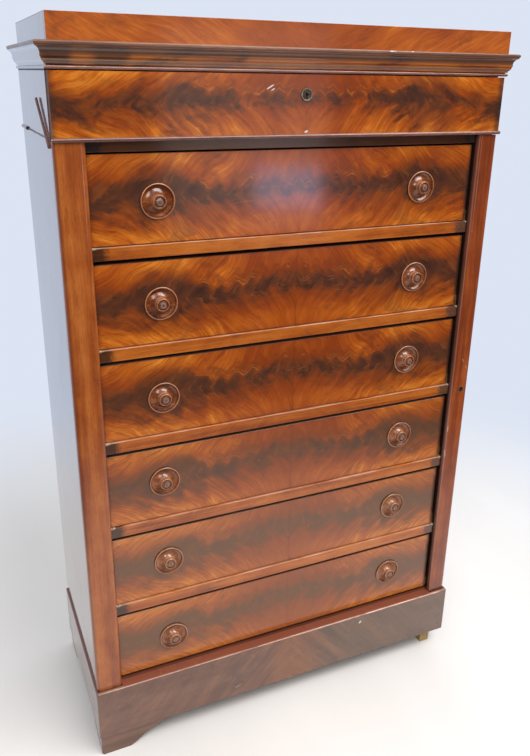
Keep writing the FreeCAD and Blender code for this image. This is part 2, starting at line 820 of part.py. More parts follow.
def knob_profile():
    """Half section of a knob let into its front: tenon, sunk disc, flange, dish, neck, head."""
    sunk_radius = knob_radius - knob_flange
    back = -knob_sunk_depth
    tenon_root = (knob_tenon_radius, 0, back)
    tenon_end = (knob_tenon_radius, 0, -knob_tenon_length)
    disc_back = (sunk_radius, 0, back)
    disc_top = (sunk_radius, 0, 0)
    flange = (knob_radius, 0, 0)
    edge_top = (knob_radius, 0, knob_edge_height)
    rim_top = (knob_radius - knob_rim_width, 0, knob_rim_height)
    step_z = knob_rim_height - knob_step_drop
    step_out = (rim_top[0], 0, step_z)
    step_in = (rim_top[0] - knob_step_width, 0, step_z)
    wall_foot = (step_in[0] - knob_wall_run, 0, step_z - knob_wall_depth)
    floor = (knob_floor_radius, 0, -knob_floor_depth)
    neck = (knob_neck_radius, 0, knob_neck_height)
    head_low = (knob_head_radius, 0, knob_head_low)
    head_top = (knob_head_radius - knob_head_taper, 0, knob_head_high)
    ring_in = (head_top[0] - knob_ring_width, 0, knob_head_high)
    groove_z = knob_head_high - knob_groove_depth
    groove_out = (ring_in[0] - knob_groove_slope, 0, groove_z)
    groove_in = (knob_button_radius, 0, groove_z)
    button_edge = (knob_button_radius, 0, knob_button_edge)
    crown = (knob_dimple_radius, 0, knob_button_height)
    dimple_z = knob_button_height - knob_dimple_depth
    dimple = (knob_dimple_radius, 0, dimple_z)
    return edge_ring([
        line((0, 0, -knob_tenon_length), tenon_end), line(tenon_end, tenon_root),
        line(tenon_root, disc_back), line(disc_back, disc_top), line(disc_top, flange),
        line(flange, edge_top), swell(edge_top, rim_top, -knob_rim_round),
        line(rim_top, step_out), line(step_out, step_in),
        swell(step_in, wall_foot, knob_wall_hollow), swell(wall_foot, floor, knob_floor_hollow),
        swell(floor, neck, knob_slope_hollow), swell(neck, head_low, knob_neck_hollow),
        swell(head_low, head_top, -knob_head_round), swell(head_top, ring_in, -knob_ring_round),
        line(ring_in, groove_out), line(groove_out, groove_in), line(groove_in, button_edge),
        swell(button_edge, crown, -knob_button_round),
        line(crown, dimple), line(dimple, (0, 0, dimple_z)),
        line((0, 0, dimple_z), (0, 0, -knob_tenon_length))])


def knob_socket(x, z):
    """Bore in a drawer front for a knob's sunk disc and tenon."""
    disc = cylinder_y(x, z, drawer_y, drawer_y + knob_sunk_depth, knob_radius - knob_flange)
    tenon = cylinder_y(x, z, drawer_y, drawer_y + knob_tenon_length, knob_tenon_radius)
    return disc.fuse(tenon)


def knob(x, z):
    """Turned knob with its tenon, let into the face of a drawer front."""
    turned = knob_profile().revolve(FreeCAD.Vector(0, 0, 0), FreeCAD.Vector(0, 0, 1), 360)
    turned.rotate(FreeCAD.Vector(0, 0, 0), FreeCAD.Vector(1, 0, 0), 90)
    turned.translate(FreeCAD.Vector(x, drawer_y, z))
    return turned


def drawer(index):
    """The pieces of one drawer, counted from the top."""
    floor = case_floor + (drawer_count - index) * drawer_pitch
    base = floor + gap_under_front
    wall_top = base + drawer_height - wall_drop
    walls, bottom, front_tails = drawer_box(drawer_y, floor, wall_top, tail_count)
    middle = base + drawer_height / 2
    row = index - 1
    knob_places = ((drawer_left_x + knob_from_left_end + left_knob_shifts[row],
                    middle + left_knob_rises[row]),
                   (drawer_right_x - knob_from_right_end + right_knob_shifts[row],
                    middle + right_knob_rises[row]))
    knobs = [knob(x, z) for x, z in knob_places]
    front = drawer_front(base, front_tails, bottom)
    for x, z in knob_places:
        front = front.cut(knob_socket(x, z))
    return {"front": one_solid(front), "walls": group(walls), "bottom": bottom,
            "knobs": group(knobs)}


def keyhole(x, z, y0, y1):
    """Through cutter of keyhole shape along Y."""
    barrel = cylinder_y(x, z, y0, y1, key_barrel_radius)
    slot = block(x - key_slot_width / 2, x + key_slot_width / 2, y0, y1, z - key_slot_length, z)
    return barrel.fuse(slot)


def lock_box():
    """Outside of the frieze drawer's lock, let into the back of the front."""
    back = frieze_y + front_thickness
    x0 = frieze_key_x - lock_width / 2
    return block(x0, x0 + lock_width, back - lock_thickness, back,
                 frieze_top - lock_height, frieze_top)


def frieze_bolt():
    """Bolt of the frieze drawer's lock, drawn back into its case."""
    back = frieze_y + front_thickness - lock_wall
    x0 = frieze_key_x - lock_bolt_width / 2
    return block(x0, x0 + lock_bolt_width, back - lock_bolt_thickness, back,
                 frieze_top - lock_bolt_length, frieze_top)


def frieze_lock():
    """Lock case with its bolt way and keyhole."""
    bolt = frieze_bolt().BoundBox
    way = block(bolt.XMin - bolt_gap, bolt.XMax + bolt_gap, bolt.YMin - bolt_gap,
                bolt.YMax + bolt_gap, bolt.ZMin - bolt_gap, frieze_top + bolt_gap)
    hole = keyhole(frieze_key_x, frieze_key_z, frieze_y, frieze_y + front_thickness - lock_wall)
    return one_solid(lock_box().cut(way).cut(hole))


def frieze_front(front_tails, bottom):
    """Wide front of the frieze drawer that laps over both pilasters and sides."""
    x1 = half_width - frieze_end_inset
    board = block(-x1, x1, frieze_y, frieze_y + front_thickness, frieze_base, frieze_top)
    rims = upright_edges(board, -x1, frieze_y) + upright_edges(board, x1, frieze_y)
    board = eased(board, frieze_arris, rims)
    board = board.cut(group(front_tails)).cut(bottom).cut(lock_box())
    hole = keyhole(frieze_key_x, frieze_key_z, frieze_y - glue_line, frieze_y + front_thickness)
    return one_solid(board.cut(hole))


def frieze_bead():
    """Half-round bead planted along the foot of the frieze drawer's front."""
    x1 = half_width - frieze_end_inset + frieze_bead_overhang
    section = bead_outline(frieze_bead_z, 2 * frieze_bead_radius, frieze_bead_out)
    run = section.extrude(FreeCAD.Vector(2 * x1, 0, 0))
    run.translate(FreeCAD.Vector(-x1, frieze_y, 0))
    return run


def escutcheon():
    """Round keyhole plate with a raised rim, pressed on the face of the frieze drawer."""
    y0 = frieze_y - escutcheon_thickness
    plate = cylinder_y(frieze_key_x, frieze_key_z, y0, frieze_y, escutcheon_radius)
    dish = cylinder_y(frieze_key_x, frieze_key_z, y0 - glue_line, y0 + escutcheon_thickness / 2,
                      escutcheon_radius - escutcheon_rim)
    boss = cylinder_y(frieze_key_x, frieze_key_z, y0, frieze_y, escutcheon_radius / 2)
    plate = plate.cut(dish).fuse(boss)
    return one_solid(plate.cut(keyhole(frieze_key_x, frieze_key_z, y0 - glue_line, frieze_y)))


# ---- locking stile ----

def hinge_centres():
    """Heights of the four hinges, even about the middle of the stile."""
    offsets = (hinge_inner_offset, hinge_outer_offset)
    return [stile_middle + sign * offset for sign in (-1, 1) for offset in offsets]


def leaf_plate(centre, on_stile):
    """Flat leaf of a hinge, lying in the gap between stile and case side."""
    if on_stile:
        y1 = hinge_axis_y - hinge_leaf_gap
        y0 = y1 - hinge_leaf_thickness
    else:
        y0 = hinge_axis_y + hinge_leaf_gap
        y1 = y0 + hinge_leaf_thickness
    return block(half_width - hinge_leaf_width, half_width, y0, y1,
                 centre - hinge_length / 2, centre + hinge_length / 2)


def knuckle(centre, on_stile):
    """Barrel parts of one leaf with the web that joins them to it."""
    third = hinge_length / 3
    if on_stile:
        spans = [(centre - third / 2 + hinge_knuckle_gap, centre + third / 2 - hinge_knuckle_gap)]
    else:
        spans = [(centre - hinge_length / 2, centre - third / 2),
                 (centre + third / 2, centre + hinge_length / 2)]
    plate = leaf_plate(centre, on_stile).BoundBox
    parts = []
    for z0, z1 in spans:
        web = block(half_width - glue_line, hinge_axis_x, plate.YMin, plate.YMax, z0, z1)
        barrel = cylinder_z(hinge_axis_x, hinge_axis_y, z0, z1, hinge_barrel_radius)
        parts.append(web.fuse(barrel))
    bore = cylinder_z(hinge_axis_x, hinge_axis_y, centre - hinge_length, centre + hinge_length,
                      hinge_pin_radius + hinge_fit * on_stile)
    return parts, bore


def hinge_leaf(centre, on_stile):
    """One leaf with its knuckles, bored for the pin."""
    parts, bore = knuckle(centre, on_stile)
    whole = leaf_plate(centre, on_stile).multiFuse(parts)
    return one_solid(whole.cut(bore))


def hinge_leaves(on_stile):
    """The like leaves of every hinge."""
    return group([hinge_leaf(centre, on_stile) for centre in hinge_centres()])


def hinge_pins():
    """Hinge pins, tight in the knuckles of the case leaves."""
    return [cylinder_z(hinge_axis_x, hinge_axis_y, centre - hinge_length / 2,
                       centre + hinge_length / 2, hinge_pin_radius)
            for centre in hinge_centres()]


def stile_lock_box():
    """Outside of the stile's lock, let into its back."""
    x0 = key_x - stile_lock_width / 2
    return block(x0, x0 + stile_lock_width, pilaster_back_y - lock_thickness, pilaster_back_y,
                 key_z - stile_lock_height / 2, key_z + stile_lock_height / 2)


def stile_bolt():
    """Bolt of the stile's lock, drawn back flush with the inner edge of the stile."""
    y1 = pilaster_back_y - stile_bolt_from_back
    return block(stile_inner_x + bolt_gap, stile_inner_x + bolt_gap + stile_bolt_length,
                 y1 - stile_bolt_thickness, y1,
                 key_z - stile_bolt_height / 2, key_z + stile_bolt_height / 2)


def stile_bolt_way():
    """Running space for the bolt through the lock case and the edge of the stile."""
    bolt = stile_bolt().BoundBox
    return block(stile_inner_x - bolt_gap, bolt.XMax + bolt_gap, bolt.YMin - bolt_gap,
                 bolt.YMax + bolt_gap, bolt.ZMin - bolt_gap, bolt.ZMax + bolt_gap)


def stile_lock():
    """Lock case of the stile with its bolt way and keyhole."""
    hole = keyhole(key_x, key_z, pilaster_back_y - lock_thickness,
                   pilaster_back_y - stile_bolt_from_back)
    return one_solid(stile_lock_box().cut(stile_bolt_way()).cut(hole))


def keyhole_liner():
    """Thin metal ring that lines the round keyhole bore."""
    outer = cylinder_y(key_x, key_z, face_y, face_y + keyhole_liner_length, keyhole_bore_radius)
    inner = cylinder_y(key_x, key_z, face_y, face_y + keyhole_liner_length,
                       keyhole_bore_radius - keyhole_liner_wall)
    return outer.cut(inner)


def locking_stile():
    """Hinged right pilaster; closed, it stands beside the drawers and laps none of them."""
    post = rounded_post(stile_inner_x, half_width, stile_base, stile_top)
    bore = cylinder_y(key_x, key_z, face_y, pilaster_back_y - lock_thickness, keyhole_bore_radius)
    post = post.cut(stile_lock_box()).cut(bore).cut(stile_bolt_way())
    recesses = [leaf_plate(centre, True) for centre in hinge_centres()]
    return one_solid(post.cut(group(recesses)))


def right_side():
    """Right side panel, recessed for the hinge leaves."""
    recesses = [leaf_plate(centre, False) for centre in hinge_centres()]
    return one_solid(mirrored_x(case_side(case_front_y)).cut(group(recesses)))


def frieze():
    """The pieces of the frieze drawer."""
    wall_top = frieze_top - 2 * wall_drop
    walls, bottom, front_tails = drawer_box(frieze_y, frieze_floor, wall_top, frieze_tail_count)
    return {"frieze_front": frieze_front(front_tails, bottom), "frieze_walls": group(walls),
            "frieze_bottom": bottom, "frieze_bead": frieze_bead(),
            "frieze_escutcheon": escutcheon(), "frieze_lock": frieze_lock(),
            "frieze_bolt": frieze_bolt()}


def all_nodes():
    """Every node of the chest by name."""
    plinth_front, plinth_left, plinth_right, plinth_back = plinth_pieces()
    attic_front, attic_ends, attic_lid = attic_box()
    nodes = {
        "case_side_left": case_side(pilaster_back_y), "case_side_right": right_side(),
        "left_pilaster": left_pilaster(), "case_top": case_top(), "case_bottom": case_bottom(),
        "drawer_rails": group(drawer_rails()), "drawer_runners": drawer_runners(),
        "drawer_stops": drawer_stops(), "back_boards": back_boards(),
        "cornice_rail": cornice_rail(), "cornice_front": cornice_moulding(0),
        "cornice_returns": group([cornice_moulding(-1), cornice_moulding(1)]),
        "cornice_cap": cornice_cap(), "cornice_beads": cornice_beads(),
        "attic_front": attic_front, "attic_ends_back_top": group([attic_ends, attic_lid]),
        "plinth_front": plinth_front,
        "plinth_sides_back": group([plinth_left, plinth_right, plinth_back]),
        "plinth_blocks": plinth_blocks(),
        "bare_foot_block": bare_foot_block(), "front_bracket_foot": front_foot(),
        "rear_bracket_feet": rear_feet(),
        "side_beads": group([side_bead(-1, face_y + left_bead_stub_start),
                             side_bead(1, pilaster_back_y)]),
        "loose_bead_strip": loose_bead_strip(),
        "hinge_case_leaves": group([hinge_leaves(False)] + hinge_pins()),
        "locking_stile": locking_stile(), "hinge_stile_leaves": hinge_leaves(True),
        "stile_lock": group([stile_lock(), keyhole_liner()]), "stile_bolt": stile_bolt(),
    }
    nodes.update(frieze())
    for index in range(1, drawer_count + 1):
        for name, shape in drawer(index).items():
            nodes["drawer_%d_%s" % (index, name)] = shape
    return nodes


os.makedirs("parts", exist_ok=True)
for name, shape in all_nodes().items():
    print(name, len(shape.Solids), shape.isValid(), round(shape.Volume))
    shape.exportStep("parts/" + name + ".step")
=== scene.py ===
import math

import bpy
from mathutils import Matrix, Vector


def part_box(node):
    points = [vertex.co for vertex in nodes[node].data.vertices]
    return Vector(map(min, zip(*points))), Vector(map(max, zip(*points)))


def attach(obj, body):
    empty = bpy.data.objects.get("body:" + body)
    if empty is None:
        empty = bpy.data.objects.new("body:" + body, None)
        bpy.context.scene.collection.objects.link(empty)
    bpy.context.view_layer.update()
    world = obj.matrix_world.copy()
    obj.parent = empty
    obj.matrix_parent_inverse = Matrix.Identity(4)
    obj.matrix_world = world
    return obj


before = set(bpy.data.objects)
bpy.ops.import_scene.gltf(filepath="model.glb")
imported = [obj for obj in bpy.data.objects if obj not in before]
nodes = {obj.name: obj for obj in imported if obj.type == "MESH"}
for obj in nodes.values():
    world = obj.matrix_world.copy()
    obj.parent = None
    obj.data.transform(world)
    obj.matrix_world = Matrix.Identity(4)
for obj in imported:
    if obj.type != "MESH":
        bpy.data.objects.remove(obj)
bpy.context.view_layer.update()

# ---- places and sizes in metres, most of them taken from the frame ----

drawer_count = 6
drawer_low, drawer_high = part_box("drawer_6_front")
drawer_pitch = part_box("drawer_5_front")[0].z - drawer_low.z
frieze_low, frieze_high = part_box("frieze_front")
attic_low, attic_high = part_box("attic_front")
cornice_low, cornice_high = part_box("cornice_front")
pilaster_low, pilaster_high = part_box("left_pilaster")
stile_low, stile_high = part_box("locking_stile")
plinth_low, plinth_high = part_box("plinth_front")
bead_low, bead_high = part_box("side_beads")
keyplate_low, keyplate_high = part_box("frieze_escutcheon")
back_low, back_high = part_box("back_boards")
hinge_low, hinge_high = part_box("hinge_case_leaves")
cornice_bead_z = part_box("cornice_beads")[0].z
side_edge_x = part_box("case_side_right")[1].x

veneer_thickness = 0.0012
back_board_count = 5
seam_x = (keyplate_low.x + keyplate_high.x) / 2  # the seam of the mirrored veneers
figure_z = drawer_low.z + (drawer_high.z - drawer_low.z) / 2 - 0.00315  # lowest dark heart
left_opening_x = pilaster_high.x
rail_top_level = drawer_pitch - 0.0009  # over the foot of the drawer front below
top_rail_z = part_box("drawer_rails")[1].z - 0.0180  # foot of the strip over the top drawer
cove_z = cornice_high.z - 0.0135  # foot of the cornice's cove
stub_y = pilaster_low.y + 0.302  # where the left side bead is broken off
hinge_y = (hinge_low.y + hinge_high.y) / 2
screw_proud = 0.00005  # height of a screw head over its leaf
screw_sizes = {"Radius": 0.0024, "Thickness": 0.00025, "Slot width": 0.0007,
               "Slot depth": 0.00004, "Spread": 0.016, "Per leaf": 3}


# ---- node trees ----

def operator(operation, swapped=False):
    """A method that adds one Math node for an arithmetic sign."""
    def apply(self, other=0.0):
        pair = (other, self) if swapped else (self, other)
        return self.owner.maths(operation, *pair)
    return apply


class Wire:
    """An output of a node that can be used in sums."""

    __add__ = operator("ADD")
    __radd__ = operator("ADD", swapped=True)
    __sub__ = operator("SUBTRACT")
    __rsub__ = operator("SUBTRACT", swapped=True)
    __mul__ = operator("MULTIPLY")
    __rmul__ = operator("MULTIPLY", swapped=True)
    __truediv__ = operator("DIVIDE")
    __rtruediv__ = operator("DIVIDE", swapped=True)
    __gt__ = operator("GREATER_THAN")
    __lt__ = operator("LESS_THAN")
    __abs__ = operator("ABSOLUTE")

    def __init__(self, owner, socket):
        self.owner = owner
        self.socket = socket


class Nodes:
    """A node tree while it is built: of a finish, of the room's light, or of a shape."""

    def __init__(self, tree):
        self.tree = tree
        tree.nodes.clear()

    def node(self, kind, settings=None, inputs=None, stops=None, output=0):
        """Any node: its settings first, then the values or links of its sockets.

        What comes back is the wire of one output, or the node itself if it has none.
        """
        made = self.tree.nodes.new(kind)
        for name, value in (settings or {}).items():
            setattr(made, name, value)
        if stops:
            ramp = made.color_ramp.elements
            while len(ramp) < len(stops):
                ramp.new(0.5)
            for element, (place, colour) in zip(ramp, stops):
                element.position = place
                element.color = (*colour, 1.0)
        for name, value in (inputs or {}).items():
            self.feed(made.inputs[name], value)
        return Wire(self, made.outputs[output]) if made.outputs else made

    def feed(self, socket, value):
        """Links a wire to a socket, or sets the number or colour written there."""
        if isinstance(value, Wire):
            self.tree.links.new(value.socket, socket)
        elif isinstance(value, tuple) and len(value) < len(socket.default_value):
            socket.default_value = (*value, 1.0)
        else:
            socket.default_value = value

    def parts(self, kind, whole):
        """The three numbers held in a vector or a colour."""
        split = self.node(kind, inputs={0: whole})
        return [Wire(self, out) for out in split.socket.node.outputs]

    def maths(self, operation, first, second=0.0):
        return self.node("ShaderNodeMath", {"operation": operation}, {0: first, 1: second})

    def vector(self, x, y, z):
        return self.node("ShaderNodeCombineXYZ", inputs={0: x, 1: y, 2: z})

    def ease(self, value, low, high):
        """0 below low, 1 above high, and an even S between them."""
        return self.node("ShaderNodeMapRange", {"interpolation_type": "SMOOTHSTEP"},
                         {"Value": value, "From Min": low, "From Max": high})

    def blend(self, factor, first, second):
        """Mix of two colours; the result stays a colour."""
        return self.node("ShaderNodeMix", {"data_type": "RGBA"},
                         {0: factor, 6: first, 7: second}, output=2)


class Finish(Nodes):
    """A material while it is built: its nodes, the place on the piece, and its shader."""

    def __init__(self, name, roughness=0.3, **constants):
        self.material = bpy.data.materials.new(name)
        self.material.use_nodes = True
        super().__init__(self.material.node_tree)
        self.shader = self.tree.nodes.new("ShaderNodeBsdfPrincipled")
        self.surface = self.node("ShaderNodeOutputMaterial").inputs["Surface"]
        self.tree.links.new(self.shader.outputs[0], self.surface)
        self.shader.inputs["Roughness"].default_value = roughness
        for socket, value in constants.items():
            self.shader.inputs[socket.replace("_", " ")].default_value = value
        self.bare = 0.0  # share of the polish that is gone
        self.colour = None
        place = self.node("ShaderNodeTexCoord", output="Object")
        self.x, self.y, self.z = self.parts("ShaderNodeSeparateXYZ", place)

    def noise(self, x, y, z, detail=2.0, roughness=0.5, bend=0.0, output=0):
        """Smooth noise round 0.5 whose cells are one unit of the place given."""
        return self.node("ShaderNodeTexNoise", inputs={
            "Vector": self.vector(x, y, z), "Scale": 1.0, "Detail": detail,
            "Roughness": roughness, "Distortion": bend}, output=output)

    def cloud(self, cells, detail=4.0, roughness=0.5):
        """Noise that is alike in all directions, with so many cells to the metre."""
        return self.noise(self.x * cells, self.y * cells, self.z * cells, detail, roughness)

    def drift(self, x, y, z, detail=1.0):
        """Three unlike noises round 0, to push a place about."""
        cloud = self.noise(x, y, z, detail=detail, output=1)
        return [part - 0.5 for part in self.parts("ShaderNodeSeparateColor", cloud)]

    def hill(self, value, middle, reach):
        """1 where value is at the middle, falling to 0 at that reach on both sides."""
        return 1.0 - self.ease(abs(value - middle), 0.0, reach)

    def between(self, value, low, high, soft):
        """1 from low to high, with soft edges outside them."""
        return self.ease(value, low - soft, low) * (1.0 - self.ease(value, high, high + soft))

    def largest(self, *values):
        result = values[0]
        for value in values[1:]:
            result = self.maths("MAXIMUM", result, value)
        return result

    def distance(self, across, up):
        return self.maths("SQRT", across * across + up * up)

    def paint(self, share, tone):
        """Lays a tone over the colour reached so far."""
        self.colour = self.blend(share, self.colour, tone)

    def ramp(self, value, *stops, curve="LINEAR"):
        made = self.node("ShaderNodeValToRGB", inputs={0: value}, stops=stops)
        made.socket.node.color_ramp.interpolation = curve
        return made

    def bump(self, height, distance, strength=0.5, below=None):
        """Normal of a relief of that height in metres, laid over another if one is given."""
        inputs = {"Height": height, "Distance": distance, "Strength": strength}
        if below is not None:
            inputs["Normal"] = below
        return self.node("ShaderNodeBump", inputs=inputs)

    def done(self, roughness=None, normal=None, metallic=None, coat=None):
        """Feeds the shader's varying sockets and gives the material back."""
        for name, value in (("Base Color", self.colour), ("Roughness", roughness),
                            ("Normal", normal), ("Metallic", metallic), ("Coat Weight", coat)):
            if value is not None:
                self.feed(self.shader.inputs[name], value)
        return self.material


# ---- features that several woods share ----

polish = {"Specular_IOR_Level": 0.35, "Coat_Weight": 0.7, "Coat_Roughness": 0.09, "Coat_IOR": 1.5}
dead_white = (0.74, 0.70, 0.64)
black_brown = (0.012, 0.007, 0.005)


def polish_relief(wood, pores):
    """Slow waves of a hand-rubbed polish, with the pores just showing through."""
    waves = wood.bump(wood.cloud(14.0, detail=2.0), 0.0007, 0.35)
    return wood.bump(1.0 - pores, 0.00005, below=waves)


def dull_patches(wood, cells=7.0):
    """Places where handling has taken some shine off, 0 to 1."""
    return wood.ease(wood.cloud(cells, roughness=0.62), 0.42, 0.75)


def mark(wood, place, size, turn):
    """Ragged spot on a front where the finish is knocked off, 1 inside."""
    cosine, sine = math.cos(turn), math.sin(turn)
    dx = wood.x - place[0]
    dz = wood.z - place[1]
    along = (dx * cosine + dz * sine) / size[0]
    across = (dz * cosine - dx * sine) / size[1]
    edge = wood.noise(wood.x * 600.0, wood.y * 300.0, wood.z * 600.0, detail=3.0)
    away = wood.distance(along, across) + (edge - 0.5) * 0.9
    return (1.0 - wood.ease(away, 0.85, 1.05)) * (wood.y < 0.0)


def lay_marks(wood, marks, tone=dead_white):
    """Lays on every listed mark: its place, its half sizes and its turn."""
    for place, size, turn in marks:
        wood.paint(mark(wood, place, size, turn) * 0.9, tone)


def hairline_scratches(wood, first, second, seed):
    """Very fine pale scratches left by dusting, in two directions."""
    fine, long = 1500.0, 14.0
    one = wood.noise((first + second * 0.4) * fine, (second - first * 0.4) * long, seed,
                     detail=1.0)
    two = wood.noise((first - second * 0.7) * long, (second + first * 0.7) * fine, seed + 3.0,
                     detail=1.0)
    return wood.largest(wood.ease(one, 0.73, 0.80), wood.ease(two, 0.73, 0.80))


def fibre_wood(wood, along, first, second, band, fibre, seed):
    """Straight-grained wood: slow bands, fine fibres, and short pores, 1 in a pore."""
    pore_width, pore_length = 0.0009, 0.011
    slow = wood.noise(first / band, second / band + seed, along / (band * 22.0),
                      detail=2.0, roughness=0.55)
    fine = wood.noise(first / fibre, second / fibre + seed, along / (fibre * 60.0),
                      detail=3.0, roughness=0.6)
    cells = wood.noise(first / pore_width, second / pore_width + seed, along / pore_length,
                       detail=1.0, roughness=0.4)
    return slow, fine, wood.ease(cells, 0.60, 0.72)


# ---- flame veneer of the drawers, the frieze and the attic ----

deep_red, copper = (0.235, 0.036, 0.0030), (0.360, 0.070, 0.0045)
gold, bright_gold = (0.500, 0.122, 0.0080), (0.720, 0.245, 0.0240)
soot, umber, russet = (0.030, 0.0120, 0.0080), (0.074, 0.0240, 0.0110), (0.160, 0.036, 0.0070)
smoke_brown, halo_red = (0.125, 0.034, 0.0080), (0.155, 0.036, 0.0070)
faded_heart, faded_gold = (0.086, 0.050, 0.026), (0.330, 0.145, 0.050)
crest_gold, thread_gold = (0.55, 0.170, 0.024), (0.46, 0.130, 0.022)
wisp_copper, seam_brown = (0.300, 0.080, 0.012), (0.075, 0.024, 0.010)
pore_brown, scratch_pale, attic_haze = (0.05, 0.015, 0.006), (0.8, 0.62, 0.45), (0.52, 0.33, 0.24)
carcase_dark, carcase_light = (0.075, 0.036, 0.018), (0.150, 0.080, 0.040)
outline_reach, outline_span = 0.46, 0.20  # length and height that an outline can have
leaf_shift = 0.22  # sets the noise of the right leaf apart from the left one's
tooth = 0.0155  # half the pitch of the zigzag along the heart's upper edge


class Veneer(Finish):
    """Book-matched crotch mahogany: barbs fan out from a dark smoky heart along the middle.

    u is the distance from the seam and v the height over the middle of the front. layer gives
    each drawer its own figure, and sheet each leaf of it. worn is 1 on the faded drawers. A
    number added to layer, sheet or side sets one noise apart from the others.
    """

    def __init__(self, name, mid_z, pitch, seed, heart, slant):
        super().__init__(name, roughness=0.22, **polish)
        x, z = self.x, self.z
        self.seed = seed
        if pitch:
            storey = self.maths("FLOOR", (z - mid_z) / pitch + 0.5)
            v = z - mid_z - storey * pitch
            self.layer = storey * 0.16 + seed
            self.worn = 1.0 - self.ease(storey, 0.5, 3.5)
        else:
            v = z - mid_z
            self.layer = z * 0.0 + seed
            self.worn = 0.0
        self.leaf = (x > seam_x) * leaf_shift
        self.sheet = self.layer + self.leaf
        u = abs(x - seam_x)
        self.u, self.v = u, v
        far = self.drift(u * 8.0, v * 8.0, self.sheet)
        near = self.drift(u * 30.0, v * 30.0, self.sheet + 4.0, detail=3.0)
        self.across = u + far[0] * 0.05 + near[0] * 0.020
        self.up = v + far[1] * 0.035 + near[1] * 0.016
        self.jitter = near[2]
        if slant:
            reach = abs(x - seam_x - 0.025)
            self.side = self.sheet
            self.fan = (v - reach * slant) * 0.9 + far[1] * 0.040 + near[1] * 0.004
            self.along = reach + v * slant
        else:
            calm = u + far[0] * 0.06 + near[0] * 0.006
            from_heart = v + far[1] * 0.05 + near[1] * 0.006 - heart
            off = abs(from_heart)
            self.side = self.ease(from_heart, -0.012, 0.012) * 0.7 + self.layer + self.leaf
            self.fan = off + off * off * 1.5 + calm * 1.75 - calm * calm * 1.60
            self.along = calm - off * 0.55

    def barbs(self, scale):
        """Brightness of the silky barbs round 0, and the pores that lie along them."""
        fan, along, side = self.fan / scale, self.along / scale, self.side
        silk = self.noise(fan * 17.0, along * 9.0, side + 9.0, roughness=0.55) - 0.5
        self.rays = self.noise(fan * 48.0, along * 6.0, side, roughness=0.55) - 0.5
        fibres = self.noise(fan * 170.0, along * 13.0, side + 2.0, 3.0, roughness=0.65) - 0.5
        hairs = self.noise(fan * 640.0, along * 34.0, side + 5.0, 3.0, roughness=0.62) - 0.5
        pores = self.noise(fan * 1250.0, along * 110.0, side, detail=1.0)
        self.pores = self.ease(pores, 0.60, 0.74)
        away = self.ease(self.u, 0.0, 0.20) * 0.7 + 0.3
        fine = (fibres * away + hairs * 0.75) * (0.66 + self.worn * 0.34)
        broad = silk * 0.58 + self.rays * 0.55 * away
        self.tone = broad * (1.0 - self.worn * 0.50) + fine

    def shape_heart(self, outline, zigzag, ragged):
        """Where the heart lies: its toothed upper edge, its depth, and the halo round it."""
        stops = [(place / outline_reach, (top / outline_span + 0.5, low / outline_span + 0.5, 0.5))
                 for place, top, low in outline]
        shape = self.ramp(self.across / outline_reach, *stops, curve="B_SPLINE")
        top, low = [(part - 0.5) * outline_span
                    for part in self.parts("ShaderNodeSeparateColor", shape)[:2]]
        wave = self.maths("PINGPONG", self.across + self.jitter * 0.03, tooth) / tooth - 0.5
        self.lively = self.between(self.u, 0.04, 0.19, 0.06)
        self.smoke = self.noise(self.across * 24.0, self.up * 34.0, self.sheet + 13.0,
                                detail=4.0, roughness=0.62) - 0.5
        self.tongues = self.noise(self.fan * 46.0, self.along * 9.0, self.side + 7.0,
                                  detail=3.0, roughness=0.60) - 0.5
        self.above = self.up - top - wave * self.lively * zigzag
        below = low - self.up
        edge = self.largest(self.above + (self.smoke * 0.040 + self.tongues * 0.026) * ragged,
                            below * 0.60 + (self.smoke * 0.050 + self.tongues * 0.045) * ragged)
        self.dark = 1.0 - self.ease(edge, -0.017, 0.009)
        self.halo = 1.0 - self.ease(edge, -0.006, 0.030)

    def golden_ground(self, broad, light, vigour, corners):
        """Golden to deep red wood, brighter at the corners and the foot, redder at the seam."""
        u, v = self.u, self.v
        ripple = self.noise((self.above + self.jitter * 0.012) * 210.0, self.across * 15.0,
                            self.sheet + 23.0, detail=3.0, roughness=0.6) - 0.5
        near_edge = self.hill(self.above, 0.006, 0.020) * self.lively
        self.tone = self.tone + (ripple * 0.8 - self.tone) * near_edge * 0.8
        corner = self.hill(u, 0.25, 0.25) * self.ease(abs(v), corners * 0.4, corners * 1.5)
        right_top = self.leaf / leaf_shift * self.ease(v, -0.02, 0.04)
        warmth = (0.50 + light + self.tone * (vigour - self.worn * 0.08) * 1.5 + broad[0] * 0.50
                  - self.halo * 0.26)
        warmth = warmth + corner * 0.20 - right_top * 0.07
        warmth = warmth + self.ease(0.0 - v, 0.03, 0.07) * 0.08
        warmth = warmth - self.ease(v, 0.015, 0.06) * self.ease(u, 0.26, 0.08) * 0.20
        warmth = warmth - self.ease(u, 0.22, 0.05) * 0.17
        self.colour = self.ramp(warmth, (0.08, deep_red), (0.40, copper), (0.68, gold),
                                (1.0, bright_gold))
        smoke = self.ease(self.smoke + broad[2] * 0.6, 0.045, 0.20)
        self.paint(smoke * 0.45, smoke_brown)

    def smoky_heart(self, depth):
        """The dark heart and its halo, and the fading of the lower drawers."""
        gloom = self.ramp(0.46 - depth + self.rays * 0.6 + self.tone * 0.5 + self.smoke * 1.1,
                          (0.08, soot), (0.50, umber), (0.92, russet))
        self.paint(self.halo * 0.35, halo_red)
        self.paint(self.dark * (0.92 - self.worn * 0.14), gloom)
        self.paint(self.dark * self.worn * 0.45, faded_heart)
        self.paint(self.worn * 0.22, faded_gold)

